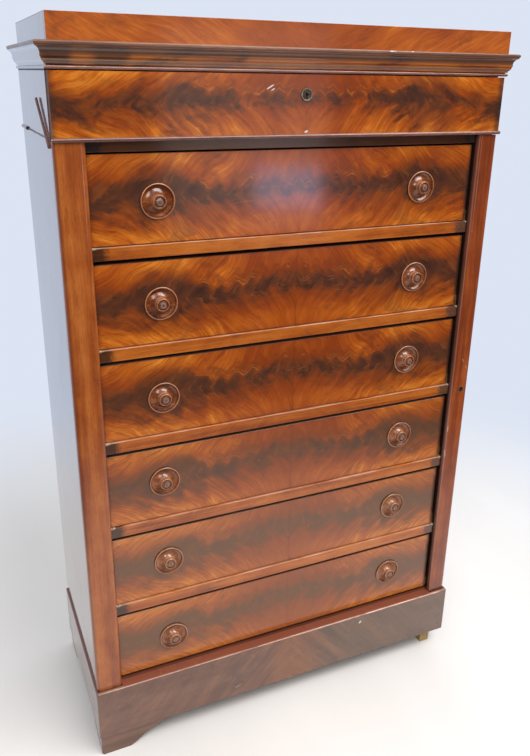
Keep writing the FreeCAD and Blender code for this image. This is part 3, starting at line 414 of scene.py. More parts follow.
    def bright_lines(self, spray):
        """Crest lines over the heart, threads spraying from the seam, wisps in the dark."""
        broken = self.noise(self.u * 40.0, self.v * 40.0, self.layer + 17.0, detail=1.0)
        broken = self.ease(broken, 0.42, 0.66)
        ridge = self.hill(self.above + self.smoke * 0.012 + self.tongues * 0.010, 0.0010, 0.0030)
        second = self.hill(self.above + self.smoke * 0.020 + self.tongues * 0.020, 0.0095, 0.0028)
        crest = self.largest(ridge, second * 0.55) * broken
        crest = crest * self.between(self.u, 0.03, 0.20, 0.06)
        self.paint(crest * (0.50 - self.worn * 0.45), crest_gold)
        angle = (self.up - spray) / (self.across + 0.03)
        threads = self.noise(angle * 15.0, self.across * 8.0, self.sheet + 21.0)
        threads = self.hill(threads, 0.5, 0.030) * (1.0 - self.ease(self.u, 0.06, 0.20)) * broken
        self.paint(threads * self.dark * (0.60 - self.worn * 0.4), thread_gold)
        wisps = self.noise(self.fan * 60.0 + self.smoke * 3.0, self.along * 13.0, self.side + 27.0)
        self.paint(self.ease(wisps, 0.56, 0.72) * self.dark * 0.36, wisp_copper)

    def seam_and_pores(self, broad):
        """The glue line between the leaves, open pores, and scratches left by dusting."""
        crack = self.ease(broad[1], -0.04, 0.03) * 0.30 + 0.30
        self.paint(self.hill(self.u, 0.0, 0.0011) * crack, seam_brown)
        self.paint(self.pores * 0.22, pore_brown)
        scratches = hairline_scratches(self, self.x, self.z, self.seed)
        self.paint(scratches * 0.07, scratch_pale)

    def stains_and_shade(self, ends, rims):
        """Dark at the listed stretches of x, each with its strength, and painted shade along both
        long arrises.
        """
        marks = [self.between(self.x + self.tongues * 0.01, low_x, high_x, 0.012) * shade
                 for low_x, high_x, shade in ends]
        # Painted shade along the top arris and the foot arris of the front.
        if rims:
            marks.append(self.ease(self.v, rims[1] - 0.0013, rims[1] - 0.0005) * 0.60)
            marks.append(self.ease(0.0 - self.v, -rims[0] - 0.0020, -rims[0] - 0.0008) * 0.60)
        return self.largest(0.0, *marks)


def flame_veneer(name, mid_z, pitch, seed, outline, front_y, heart=0.010, zigzag=0.013,
                 spray=0.012, scale=1.0, marks=(), ends=(), ragged=1.0, depth=0.0, corners=0.05,
                 light=0.0, vigour=1.0, slant=0.0, haze=0.0, rims=None):
    """Finish of a veneered front: the figure, its wear and painted shade, and the carcase wood
    behind it.
    """
    wood = Veneer(name, mid_z, pitch, seed, heart, slant)
    wood.barbs(scale)
    broad = wood.drift(wood.u * 7.0, wood.v * 14.0, wood.sheet + 11.0, detail=2.0)
    wood.shape_heart(outline, zigzag, ragged)
    wood.golden_ground(broad, light, vigour, corners)
    wood.smoky_heart(depth)
    wood.bright_lines(spray)
    wood.seam_and_pores(broad)
    lay_marks(wood, marks)
    # Real stain and painted shade at the stretches and arrises listed for each front.
    stain_and_shade = wood.stains_and_shade(ends, rims)
    wood.paint(stain_and_shade, black_brown)
    wood.paint(haze, attic_haze)
    back_y = front_y + veneer_thickness
    behind = wood.ease(wood.y, back_y, back_y + 0.0003)
    core = wood.noise(wood.x * 3.0, wood.y * 160.0, wood.z * 160.0, detail=3.0)
    wood.paint(behind, wood.ramp(core, (0.3, carcase_dark), (0.7, carcase_light)))
    rough = 0.20 + dull_patches(wood) * 0.10 + wood.largest(behind, stain_and_shade) * 0.4
    coat = (1.0 - wood.largest(behind, stain_and_shade)) * 0.7
    return wood.done(rough, polish_relief(wood, wood.pores), coat=coat)


# ---- plain woods ----

grain_axes = {"x": ("x", "y", "z"), "y": ("y", "x", "z"), "z": ("z", "x", "y")}


def polished_mahogany(name, axis, deep, warm, pale, band, seed, gloss=0.16, wear_and_light=None, marks=(),
                      knocks=dead_white, coat=0.7, sheen=0.09):
    """Straight-grained polished mahogany, its grain along one axis."""
    wood = Finish(name, roughness=0.25,
                  **{**polish, "Coat_Weight": coat, "Coat_Roughness": sheen})
    along, first, second = (getattr(wood, letter) for letter in grain_axes[axis])
    sway = wood.noise(along * 3.0, first * 6.0, seed, detail=1.0)
    slow, fine, pores = fibre_wood(wood, along, first + (sway - 0.5) * 0.02, second,
                                   band, 0.0014, seed)
    mottle = wood.noise(first * 35.0, second * 35.0, along * 22.0 + seed, detail=3.0)
    tone = slow * 0.6 + fine * 0.3 + (mottle - 0.5) * 0.25 + 0.05
    tone = wood.ease(tone, 0.3, 0.66)
    wood.colour = wood.ramp(tone, (0.0, deep), (0.55, warm), (1.0, pale))
    wood.paint(pores * 0.35, tuple(part * 0.35 for part in deep))
    # What this lays on is wear, and on some pieces painted light and shade.
    if wear_and_light:
        wear_and_light(wood)
    lay_marks(wood, marks, knocks)
    rough = gloss + dull_patches(wood) * 0.12 + wood.bare * 0.5
    return wood.done(rough, polish_relief(wood, pores), coat=(1.0 - wood.bare) * coat)


def bare_wood(name, axis, dark, pale, band=0.01, seed=0.0, dust=(0.4, 0.38, 0.34), boards=None):
    """Unpolished wood with growth rings and grime; boards gives a first edge and a width."""
    wood = Finish(name, roughness=0.7, Specular_IOR_Level=0.25)
    if boards:
        first_edge, width = boards
        count = (wood.x - first_edge) / width
        board = wood.maths("FLOOR", count)
        seed = board * 3.7 + seed
    along, first, second = (getattr(wood, letter) for letter in grain_axes[axis])
    slow, fine, pores = fibre_wood(wood, along, first, second, band, 0.0011, seed)
    tone = wood.ease(slow * 0.5 + fine * 0.5, 0.32, 0.68)
    wood.colour = wood.ramp(tone, (0.0, dark), (1.0, pale))
    if boards:
        shade = wood.ease(wood.noise(board * 1.37, 0.5, 2.0), 0.40, 0.60)
        wood.paint(shade * 0.40, dark)
        joint = 1.0 - wood.ease(wood.maths("PINGPONG", count, 0.5) * width, 0.0006, 0.0018)
        wood.paint(joint * 0.85, black_brown)
    grime_and_shade = wood.cloud(9.0, detail=5.0, roughness=0.7)
    wood.paint(wood.ease(grime_and_shade, 0.5, 0.8) * 0.35, dust)
    wood.paint(pores * 0.3, tuple(part * 0.4 for part in dark))
    return wood.done(0.6 + fine * 0.2, wood.bump(fine, 0.0003, 0.6))


# ---- wear, and painted light and shade, of single pieces ----

rail_gold, rail_streak = (0.50, 0.135, 0.020), (0.50, 0.150, 0.028)
rail_smoke, rail_grime = (0.085, 0.026, 0.011), (0.050, 0.036, 0.030)
rail_splinter_and_highlight, rail_highlight = (0.60, 0.50, 0.40), (0.72, 0.400, 0.260)
top_rail_shadow = (0.016, 0.009, 0.007)


def rail_wear_and_light(wood):
    """Drawer rails: golden streaks, stained ends, pale chips and painted highlights on top at the
    ends, a painted highlight along the top arris, and a painted shadow on the top rail.
    """
    x, z = wood.x, wood.z
    storey = wood.maths("FLOOR", (z - drawer_low.z) / drawer_pitch)
    level = z - drawer_low.z - storey * drawer_pitch
    slant = wood.noise((abs(x - seam_x) + level) * 130.0, level * 9.0, storey, detail=3.0)
    wood.paint(wood.ease(slant, 0.46, 0.66) * 0.18, rail_gold)
    run = wood.noise(x * 10.0, level * 110.0, storey + 6.0, detail=3.0, roughness=0.6)
    wood.paint(wood.ease(run, 0.50, 0.68) * 0.45, rail_streak)
    smoke = wood.noise(x * 13.0, level * 30.0, storey + 4.0, detail=3.0)
    wood.paint(wood.ease(smoke, 0.54, 0.74) * 0.42, rail_smoke)

    ragged = wood.noise(x * 260.0, level * 160.0, storey + 9.0, detail=3.0) - 0.5
    from_left, from_right = x - left_opening_x, x - stile_low.x
    right_stain = wood.ease(from_right + ragged * 0.03, -0.036, -0.020)
    wood.paint(right_stain * 0.80, rail_grime)
    left_stain = 1.0 - wood.ease(from_left + ragged * 0.02, 0.016, 0.034)
    wood.paint(left_stain * 0.86, black_brown)
    # Pale chipped wood on top at the left end, and a painted highlight on top of the right end.
    knocked = 1.0 - wood.ease(from_left + ragged * 0.035, 0.004, 0.010)
    on_top = wood.ease(level + ragged * 0.01, rail_top_level - 0.004, rail_top_level - 0.001)
    lit_tip = wood.ease(from_right + ragged * 0.02, -0.007, -0.004)
    wood.paint(wood.largest(knocked * on_top, lit_tip * on_top) * 0.8, rail_splinter_and_highlight)
    # Painted highlight along the top arris of every rail, in patches.
    painted_highlight = wood.ease(level, rail_top_level - 0.0022, rail_top_level - 0.0009)
    patchy = wood.ease(wood.noise(x * 9.0, storey * 3.0, 2.0, detail=3.0), 0.35, 0.62)
    wood.paint(painted_highlight * patchy * 0.60, rail_highlight)
    # Painted shadow on the top rail under the overhanging frieze.
    head = wood.ease(z, top_rail_z - 0.002, top_rail_z)
    wood.paint(head * 0.80, top_rail_shadow)


def riser_shadow(wood):
    """Edge of the bottom board: a painted shadow just under the lowest drawer."""
    grime_and_shade = wood.ease(wood.z, drawer_low.z - 0.0042, drawer_low.z - 0.0030)
    wood.paint(grime_and_shade * 0.90, black_brown)


grime_and_shade_edge, arris_highlight_tone = (0.100, 0.046, 0.038), (0.500, 0.230, 0.150)
red_shadow = (0.130, 0.018, 0.008)


def upright_wear_and_shade(wood):
    """Pilaster and stile: grime and painted shade by the drawers, painted black shade in the
    recess, a painted highlight on the stile's inner arris, a painted red shadow at the outer edge.
    """
    x = wood.x
    on_right = x > 0.0
    inner = wood.blend(on_right, (pilaster_high.x, 0.0, 0.0), (stile_low.x, 0.0, 0.0))
    inner = wood.parts("ShaderNodeSeparateColor", inner)[0]
    ragged = wood.noise(x * 120.0, wood.y * 60.0, wood.z * 30.0, detail=3.0) - 0.5
    # Grime and painted shade on the edges next to the drawers, stronger on the stile.
    near = 1.0 - wood.ease(abs(x - inner) + ragged * 0.003, 0.0012, 0.0034)
    wood.paint(near * (0.55 + on_right * 0.27), grime_and_shade_edge)
    # Painted black shade deep in the recess beside the drawers.
    deep = wood.ease(wood.y, stile_low.y + 0.0080, stile_low.y + 0.0130) * near
    wood.paint(deep * 0.90, black_brown)
    # Painted highlight along the stile's rounded inner arris.
    inner_arris_highlight = wood.hill(x - stile_low.x + ragged * 0.001, 0.0028, 0.0016)
    wood.paint(inner_arris_highlight * 0.45, arris_highlight_tone)
    outer = 1.0 - wood.ease(x - pilaster_low.x + ragged * 0.004, 0.002, 0.007)
    wood.paint(outer * 0.55, red_shadow)


flame_dark, flame_mid = (0.070, 0.040, 0.029), (0.165, 0.078, 0.050)
flame_light, plinth_smoke = (0.315, 0.140, 0.070), (0.085, 0.048, 0.034)
plinth_gold, plinth_reflection_grey = (0.260, 0.088, 0.030), (0.140, 0.100, 0.070)
plinth_speckle, ledge_pale = (0.060, 0.032, 0.024), (0.270, 0.135, 0.105)
ledge_red, ledge_side = (0.225, 0.056, 0.024), (0.160, 0.034, 0.022)
plinth_arris_highlight = (0.850, 0.560, 0.440)


def plinth_wear_and_light(wood):
    """Plinth: faint flames with a painted grey reflection, a painted highlight on the top arris,
    and its ledge on top with a painted contact shadow at the foot of the uprights.
    """
    x, y, z = wood.x, wood.y, wood.z
    sweep = wood.noise(abs(x - seam_x) * 30.0 + z * 26.0, y * 6.0, z * 7.0 + x * 3.0,
                       detail=4.0, roughness=0.62, bend=0.4)
    figure = wood.ramp(sweep, (0.36, flame_dark), (0.50, flame_mid), (0.64, flame_light))
    wood.paint(wood.hill(x, 0.08, 0.34) * 0.45 + 0.25, figure)
    smoke = wood.noise(x * 9.0 + 3.0, y * 5.0, z * 16.0, detail=4.0, roughness=0.6)
    wood.paint(wood.ease(smoke, 0.52, 0.70) * 0.65, plinth_smoke)
    golden = wood.hill(x + smoke * 0.10, 0.055, 0.10)
    wood.paint(golden * 0.50, plinth_gold)
    # Painted grey reflection of the pale floor, growing towards the right.
    wood.paint(wood.ease(x, 0.02, 0.20) * 0.50, plinth_reflection_grey)
    speckle = wood.noise(x * 300.0, y * 300.0, z * 700.0, detail=3.0, roughness=0.7)
    wood.paint(wood.ease(speckle, 0.50, 0.66) * 0.30, plinth_speckle)

    on_top = wood.ease(z, plinth_high.z - 0.0016, plinth_high.z - 0.0006)
    opening = wood.between(x, left_opening_x, stile_low.x, 0.0005)
    behind = wood.ease(y, pilaster_low.y - 0.0026, pilaster_low.y - 0.0010)
    wood.paint(on_top * 0.80, ledge_pale)
    wood.paint(on_top * opening * 0.85, ledge_red)
    inside = wood.between(x, pilaster_low.x, stile_high.x, 0.0005)
    wood.paint(on_top * (1.0 - inside) * 0.85, ledge_side)
    # Painted contact shadow on the ledge at the foot of the pilaster and the stile.
    wood.paint(on_top * behind * inside * (1.0 - opening), black_brown)
    # Painted highlight along the rounded top arris of the front, in patches.
    front = wood.ease(y, plinth_low.y + 0.005, plinth_low.y + 0.003)
    painted_highlight = wood.hill(z, plinth_high.z - 0.0010, 0.0016) * front
    patchy = wood.ease(wood.noise(x * 14.0, 1.0, 5.0, detail=4.0), 0.32, 0.60)
    strength = (wood.ease(x, -0.08, 0.20) * 0.5 + 0.35) * patchy
    wood.paint(painted_highlight * strength, plinth_arris_highlight)


cornice_gold, cornice_smoke = (0.43, 0.130, 0.020), (0.040, 0.018, 0.011)
cove_brown, cornice_edge_highlight = (0.105, 0.058, 0.044), (0.40, 0.270, 0.200)


def cornice_wear_and_highlights(wood):
    """Cornice: golden clouds, smoke with two dark spots at the left, a darker cove, painted
    highlights along two edges.
    """
    x, z = wood.x, wood.z
    glow = wood.noise(x * 8.0 + 7.0, wood.y * 6.0, z * 24.0, detail=3.0)
    wood.paint(wood.ease(glow, 0.36, 0.56) * 0.75, cornice_gold)
    smoke = wood.noise(x * 11.0 + 2.6, wood.y * 6.0, z * 30.0, detail=4.0, roughness=0.62)
    outer = wood.between(x + smoke * 0.05, -0.420, -0.395, 0.020) * 0.85
    inner = wood.between(x + smoke * 0.06, -0.340, -0.305, 0.020) * 0.75
    clouds = wood.largest(wood.ease(smoke, 0.54, 0.68) * 0.75, outer, inner)
    wood.paint(clouds, cornice_smoke)
    wood.paint(wood.ease(z, cove_z - 0.004, cove_z + 0.003) * 0.70, cove_brown)
    # Painted highlight lines at the step under the cove and along the foot of the front.
    step = wood.hill(z, cove_z - 0.0075, 0.0016)
    foot = wood.hill(z, cornice_low.z + 0.0025, 0.0022)
    wood.paint(wood.largest(step, foot) * 0.55, cornice_edge_highlight)


side_stripe, glue_scar = (0.115, 0.032, 0.014), (0.100, 0.060, 0.048)


def side_wear_and_shadow(wood):
    """Sides: faint stripes, the dull scar of the lost bead, a painted shadow line under the
    cornice.
    """
    stripes = wood.noise(wood.y * 90.0, wood.z * 1.2, wood.x * 40.0, detail=4.0)
    wood.paint(wood.ease(stripes, 0.45, 0.65) * 0.5, side_stripe)
    torn = wood.noise(wood.y * 60.0, wood.z * 260.0, 2.0, detail=4.0)
    scar = wood.between(wood.z + torn * 0.003, bead_low.z + 0.0035, bead_high.z, 0.0006)
    scar = scar * (1.0 - wood.ease(wood.y, stub_y - 0.002, stub_y)) * (wood.x < 0.0)
    # Painted shadow line on the side just under the cornice's bead.
    cornice_shadow_line = wood.between(wood.z, cornice_bead_z - 0.0024, cornice_bead_z, 0.0005)
    wood.bare = wood.largest(scar * 0.8, cornice_shadow_line * 0.9)
    wood.paint(cornice_shadow_line * 0.9, black_brown)
    wood.paint(scar * 0.8, glue_scar)


attic_deep, attic_warm = (0.110, 0.032, 0.014), (0.260, 0.082, 0.032)
attic_pore, dust_film = (0.040, 0.014, 0.008), (0.50, 0.45, 0.40)
broken_wood = (0.060, 0.036, 0.028)


def attic_wear(wood):
    """Attic box: its closed top has its grain from side to side, under a film of dust."""
    slow, fine, pores = fibre_wood(wood, wood.x, wood.y, wood.z, 0.025, 0.0014, 8.2)
    tone = wood.ease(slow * 0.6 + fine * 0.4, 0.34, 0.66)
    top = wood.ramp(tone, (0.0, attic_deep), (1.0, attic_warm))
    top = wood.blend(pores * 0.4, top, attic_pore)
    film = wood.noise(wood.x * 5.0, wood.y * 7.0, 1.0, detail=5.0, roughness=0.65)
    top = wood.blend(wood.ease(film, 0.35, 0.75) * 0.22 + 0.06, top, dust_film)
    on_top = wood.ease(wood.z, attic_high.z - 0.0012, attic_high.z - 0.0006)
    wood.bare = on_top * 0.7
    wood.paint(on_top, top)


def bead_wear(wood):
    """Side beads: black broken wood at the end of the stub."""
    broken = wood.between(wood.y, stub_y - 0.004, stub_y + 0.0004, 0.0006)
    wood.paint(broken * (wood.x < 0.0) * 0.7, broken_wood)


# ---- knobs and metal ----

knob_deep, knob_warm = (0.120, 0.028, 0.009), (0.240, 0.062, 0.016)
knob_pale, knob_dish_shade = (0.360, 0.115, 0.034), (0.110, 0.022, 0.006)
knob_faded, knob_highlight = (0.400, 0.190, 0.100), (0.60, 0.300, 0.165)
end_grain_dark, end_grain_pale = (0.070, 0.040, 0.032), (0.330, 0.205, 0.160)
plate_dark, plate_brown = (0.055, 0.042, 0.032), (0.210, 0.165, 0.120)
ring_dull, ring_pale = (0.250, 0.215, 0.175), (0.520, 0.470, 0.400)
plate_grime_and_shade, slot_shade_black = (0.012, 0.010, 0.008), (0.008, 0.007, 0.006)
screw_dark, screw_grey = (0.200, 0.190, 0.175), (0.520, 0.500, 0.470)


def knob_places(node):
    """Middle of the left and of the right knob of a drawer, and their radius."""
    points = [vertex.co for vertex in nodes[node].data.vertices]
    middles = []
    for side in (-1, 1):
        across, up = zip(*((point.x, point.z) for point in points if point.x * side > 0.0))
        middles.append(((min(across) + max(across)) / 2, (min(up) + max(up)) / 2))
    return middles, (max(up) - min(up)) / 2


def turned_mahogany(name, node, worn):
    """Turned knob pair: painted shade in the dish, painted highlights on the rim and a ring, brown
    end grain, dirt and painted shade in the grooves.
    """
    middles, radius = knob_places(node)
    wood = Finish(name, roughness=0.2, **{**polish, "Coat_Weight": 0.6, "Coat_Roughness": 0.15})
    x, y, z = wood.x, wood.y, wood.z
    left, right = [wood.distance(x - middle[0], z - middle[1]) / radius for middle in middles]
    away = wood.maths("MINIMUM", left, right)
    grain = wood.noise(x * 70.0, y * 60.0, z * 420.0, detail=3.0, roughness=0.6)
    cloud = wood.cloud(60.0, detail=3.0)
    tone = wood.ease(grain * 0.5 + cloud * 0.5, 0.34, 0.66)
    wood.colour = wood.ramp(tone, (0.0, knob_deep), (0.55, knob_warm), (1.0, knob_pale))
    # Painted shade in the dish of each knob.
    dish_shade = wood.between(away, 0.36, 0.86, 0.06) * (1.0 - wood.ease(cloud, 0.55, 0.75) * 0.4)
    wood.paint(dish_shade * 0.18, knob_dish_shade)
    wood.paint(worn, knob_faded)
    # Painted highlights on the rim and on a ring round the head.
    painted_highlight = wood.largest(wood.hill(away, 0.955, 0.035), wood.hill(away, 0.37, 0.05) * 0.55)
    wood.paint(painted_highlight * 0.75, knob_highlight)
    button = 1.0 - wood.ease(away, 0.19, 0.24)
    rings = wood.maths("SINE", away * 58.0 + cloud * 1.0) * 0.5 + 0.5
    end_grain = wood.blend(rings, end_grain_dark, end_grain_pale)
    wood.paint(button * 0.75, end_grain)
    # Dirt and painted shade in the grooves, at the middle of the button and round the foot of the
    # rim.
    dirt_and_shade = wood.largest(wood.hill(away, 0.285, 0.035), wood.hill(away, 0.865, 0.025),
                        wood.hill(away, 1.0, 0.02), wood.hill(away, 0.0, 0.04))
    wood.paint(dirt_and_shade * 0.75, black_brown)
    lathe = wood.maths("SINE", away * 420.0 + cloud * 3.0)
    normal = wood.bump(lathe * 0.3 + rings * button, 0.00004)
    rough = 0.16 + dull_patches(wood, 30.0) * 0.14 + button * 0.12
    return wood.done(rough, normal)


def keyhole_plate(name):
    """Round aged plate: a raised pale ring, a grimy groove, a dull brown disc, darker at its edge,
    and painted shade in the keyhole at the middle.
    """
    metal = Finish(name, roughness=0.34, Metallic=1.0)
    dx, dz = metal.x - seam_x, metal.z - (keyplate_low.z + keyplate_high.z) / 2
    away = metal.distance(dx, dz) / ((keyplate_high.x - keyplate_low.x) / 2)
    cloud = metal.cloud(400.0)
    disc = metal.ramp(cloud, (0.35, plate_dark), (0.65, plate_brown))
    ring = metal.ramp(cloud, (0.35, ring_dull), (0.65, ring_pale))
    metal.colour = metal.blend(metal.ease(away, 0.74, 0.80), disc, ring)
    # Grime in the groove, dark at the edge, and painted shade in the keyhole at the middle.
    grime_and_shade = metal.largest(metal.hill(away, 0.73, 0.07), metal.ease(away, 0.95, 1.0),
                          1.0 - metal.ease(away, 0.20, 0.32))
    metal.paint(grime_and_shade * 0.85, plate_grime_and_shade)
    dull = metal.largest(grime_and_shade, metal.ease(cloud, 0.45, 0.6) * 0.5)
    return metal.done(0.32 + dull * 0.35, metal.bump(cloud, 0.00008), metallic=1.0 - dull * 0.5)


def aged_metal(name, dark, bright, rough):
    """Dull metal with tarnish in clouds and fine scratches."""
    metal = Finish(name, roughness=rough, Metallic=1.0)
    cloud = metal.cloud(160.0, roughness=0.65)
    scratches = metal.noise(metal.x * 2200.0, metal.y * 300.0, metal.z * 180.0)
    tone = metal.ease(cloud, 0.35, 0.65)
    metal.colour = metal.ramp(tone, (0.0, dark), (1.0, bright))
    return metal.done(rough + (1.0 - tone) * 0.25, metal.bump(cloud + scratches * 0.3, 0.0001),
                      metallic=0.6 + tone * 0.4)


def screw_iron():
    """Steel screws: dull grey heads with painted shade in the slot and at the rim."""
    metal = Finish("screw_iron", roughness=0.4, Metallic=1.0)
    cloud = metal.cloud(900.0)
    metal.colour = metal.ramp(cloud, (0.35, screw_dark), (0.65, screw_grey))
    # Painted black shade in the slot and round the foot of each head.
    slot_shade = metal.ease(abs(metal.y - hinge_y), screw_proud + 0.000010, screw_proud + 0.000030)
    metal.paint(slot_shade * 0.92, slot_shade_black)
    return metal.done(0.38 + cloud * 0.25, metal.bump(cloud, 0.00005), metallic=1.0 - slot_shade * 0.6)


# ---- the finish of every piece ----

# Hearts of the veneers: distance from the seam, then top and foot over the middle of the front.
drawer_outline = ((0.0, 0.046, 0.004), (0.022, 0.044, -0.004), (0.050, 0.034, -0.004),
                  (0.085, 0.040, -0.012), (0.113, 0.028, -0.010), (0.140, 0.033, -0.020),
                  (0.170, 0.030, -0.024), (0.197, 0.023, -0.024), (0.225, 0.042, -0.027),
                  (0.265, 0.052, -0.028), (0.305, 0.048, -0.028), (0.327, 0.040, -0.027),
                  (0.345, 0.034, -0.020), (0.366, 0.038, -0.026), (0.402, 0.040, -0.030))
frieze_outline = ((0.0, 0.026, 0.008), (0.020, 0.030, 0.002), (0.040, 0.021, 0.000),
                  (0.080, 0.028, 0.000), (0.118, 0.020, -0.002), (0.150, 0.024, -0.006),
                  (0.185, 0.033, -0.020), (0.220, 0.040, -0.026), (0.260, 0.037, -0.020),
                  (0.300, 0.030, -0.016), (0.330, 0.024, -0.006), (0.360, 0.020, -0.014),
                  (0.400, 0.018, -0.018), (0.445, 0.021, -0.016))
attic_outline = ((0.0, 0.10, 0.095), (0.46, 0.10, 0.095))

# Knocks in the finish: x and z of the middle, half length and half width, turn.
frieze_marks = (((-0.068, 1.400), (0.0085, 0.0013), 0.52),
                ((-0.063, 1.3955), (0.0045, 0.0010), 0.5),
                ((0.005, 1.3232), (0.0038, 0.0020), 0.35))
stile_marks = (((0.4385, 0.794), (0.0008, 0.005), 0.35), ((0.428, 0.812), (0.0006, 0.006), 0.5),
               ((0.4075, 0.640), (0.0010, 0.008), 0.0), ((0.4070, 0.575), (0.0010, 0.010), 0.1))
cap_marks = (((0.168, 1.4636), (0.0046, 0.0011), 0.0), ((0.175, 1.4630), (0.0018, 0.0010), 0.0),
             ((0.2125, 1.4638), (0.0030, 0.0007), 0.0))
plinth_marks = (((0.195, 0.153), (0.0048, 0.0026), 0.6), ((-0.13, 0.075), (0.0090, 0.0005), 0.35))

# On the drawers the dark right ends are the painted shadow of the stile, and rims lays painted
# shade on the long arrises.
drawer_veneer = flame_veneer("drawer_flame_veneer", figure_z, drawer_pitch, 2.0, drawer_outline,
                             drawer_low.y,
                             rims=(drawer_low.z - figure_z, drawer_high.z - figure_z),
                             ends=((drawer_high.x + 0.001, drawer_high.x + 0.02, 0.93),))
frieze_veneer = flame_veneer("frieze_flame_veneer", (frieze_low.z + frieze_high.z) / 2, 0.0,
                             5.0, frieze_outline, frieze_low.y, heart=0.004, zigzag=0.010,
                             spray=-0.004, scale=0.85, marks=frieze_marks, ragged=1.35,
                             depth=0.06, corners=0.035, light=0.06,
                             ends=((frieze_low.x - 0.02, frieze_low.x + 0.001, 0.50),
                                   (0.235, 0.330, 0.22),
                                   (frieze_high.x - 0.006, frieze_high.x + 0.02, 0.65)))
attic_veneer = flame_veneer("attic_veneer", (attic_low.z + attic_high.z) / 2, 0.0, 8.0,
                            attic_outline, attic_high.y, heart=0.16, corners=0.3, vigour=0.80,
                            slant=0.50, light=-0.05, haze=0.05)

# Plain mahogany: axis of the grain, deep, warm and pale tone, and what else sets it apart.
side_tones = ((0.13, 0.034, 0.014), (0.19, 0.050, 0.019), (0.25, 0.075, 0.028))
side_polish = dict(band=0.03, seed=8.0, gloss=0.08, coat=1.0, sheen=0.03)
mahogany_kinds = (
    ("pilaster", "z", ((0.215, 0.044, 0.009), (0.355, 0.087, 0.015), (0.48, 0.148, 0.030)),
     dict(band=0.022, seed=1.0, wear_and_light=upright_wear_and_shade)),
    ("stile", "z", ((0.150, 0.028, 0.007), (0.265, 0.052, 0.011), (0.38, 0.095, 0.020)),
     dict(band=0.022, seed=1.6, wear_and_light=upright_wear_and_shade, marks=stile_marks, knocks=(0.52, 0.34, 0.25))),
    ("rail", "x", ((0.240, 0.045, 0.005), (0.390, 0.092, 0.009), (0.51, 0.150, 0.018)),
     dict(band=0.020, seed=3.0, wear_and_light=rail_wear_and_light)),
    ("ledge", "x", ((0.100, 0.024, 0.010), (0.170, 0.043, 0.017), (0.24, 0.066, 0.026)),
     dict(band=0.020, seed=3.4, wear_and_light=riser_shadow)),
    ("cornice", "x", ((0.120, 0.026, 0.008), (0.235, 0.052, 0.011), (0.36, 0.098, 0.018)),
     dict(band=0.022, seed=6.0, wear_and_light=cornice_wear_and_highlights)),
    ("bead", "x", ((0.100, 0.032, 0.022), (0.185, 0.066, 0.046), (0.30, 0.130, 0.095)),
     dict(band=0.014, seed=6.8, gloss=0.12)),
    ("cap", "x", ((0.120, 0.050, 0.030), (0.185, 0.082, 0.050), (0.27, 0.135, 0.090)),
     dict(band=0.020, seed=6.4, gloss=0.32, coat=0.25, marks=cap_marks,
          knocks=(0.62, 0.57, 0.50))),
    ("side", "z", side_tones, dict(side_polish, wear_and_light=side_wear_and_shadow)),
    ("attic_box", "z", side_tones, dict(side_polish, wear_and_light=attic_wear)),
    ("strip", "z", ((0.085, 0.027, 0.018), (0.150, 0.048, 0.031), (0.23, 0.085, 0.058)),
     dict(band=0.010, seed=8.4, coat=0.25, wear_and_light=bead_wear)),
    ("plinth", "x", ((0.125, 0.052, 0.034), (0.165, 0.075, 0.050), (0.215, 0.105, 0.070)),
     dict(band=0.05, seed=9.0, gloss=0.22, wear_and_light=plinth_wear_and_light, marks=plinth_marks)),
    ("foot", "x", ((0.115, 0.050, 0.030), (0.170, 0.078, 0.048), (0.23, 0.110, 0.066)),
     dict(band=0.03, seed=9.6, gloss=0.3)),
)
mahogany = {kind: polished_mahogany(kind + "_mahogany", axis, *tones, **details)
            for kind, axis, tones, details in mahogany_kinds}

oak = bare_wood("drawer_oak", "y", (0.30, 0.19, 0.095), (0.47, 0.33, 0.18))
poplar = bare_wood("carcass_poplar", "x", (0.33, 0.24, 0.14), (0.52, 0.41, 0.27), seed=2.0)
back_poplar = bare_wood("back_poplar", "z", (0.27, 0.17, 0.085), (0.46, 0.33, 0.19), seed=5.0,
                        dust=(0.36, 0.31, 0.25),
                        boards=(back_low.x, (back_high.x - back_low.x) / back_board_count))
raw_wood = bare_wood("raw_block_wood", "z", (0.26, 0.15, 0.045), (0.47, 0.31, 0.12), band=0.006,
                     seed=7.0, dust=(0.7, 0.66, 0.58))
iron = aged_metal("aged_iron", (0.05, 0.04, 0.035), (0.22, 0.20, 0.18), rough=0.45)
brass = aged_metal("aged_brass", (0.10, 0.085, 0.06), (0.42, 0.38, 0.29), rough=0.32)

drawers = ["drawer_%d_" % number for number in range(1, drawer_count + 1)]
coverings = [
    (drawer_veneer, [drawer + "front" for drawer in drawers]),
    (frieze_veneer, ["frieze_front"]),
    (attic_veneer, ["attic_front"]),
    (mahogany["pilaster"], ["left_pilaster"]),
    (mahogany["stile"], ["locking_stile"]),
    (mahogany["rail"], ["drawer_rails"]),
    (mahogany["ledge"], ["case_bottom"]),
    (mahogany["cornice"], ["cornice_rail", "cornice_front"]),
    (mahogany["bead"], ["cornice_beads", "frieze_bead"]),
    (mahogany["cap"], ["cornice_cap"]),
    (mahogany["side"], ["case_side_left", "case_side_right", "cornice_returns"]),
    (mahogany["attic_box"], ["attic_ends_back_top"]),
    (mahogany["strip"], ["side_beads", "loose_bead_strip"]),
    (mahogany["plinth"], ["plinth_front", "plinth_sides_back"]),
    (mahogany["foot"], ["front_bracket_foot", "rear_bracket_feet"]),
    (oak, ["drawer_runners", "drawer_stops", "frieze_walls", "frieze_bottom"]),
    (oak, [drawer + part for drawer in drawers for part in ("walls", "bottom")]),
    (poplar, ["case_top", "plinth_blocks"]),
    (back_poplar, ["back_boards"]),
    (raw_wood, ["bare_foot_block"]),
    (brass, ["hinge_case_leaves", "hinge_stile_leaves", "stile_lock"]),
    (iron, ["stile_bolt", "frieze_lock", "frieze_bolt"]),
    (keyhole_plate("aged_keyhole_plate"), ["frieze_escutcheon"]),
]
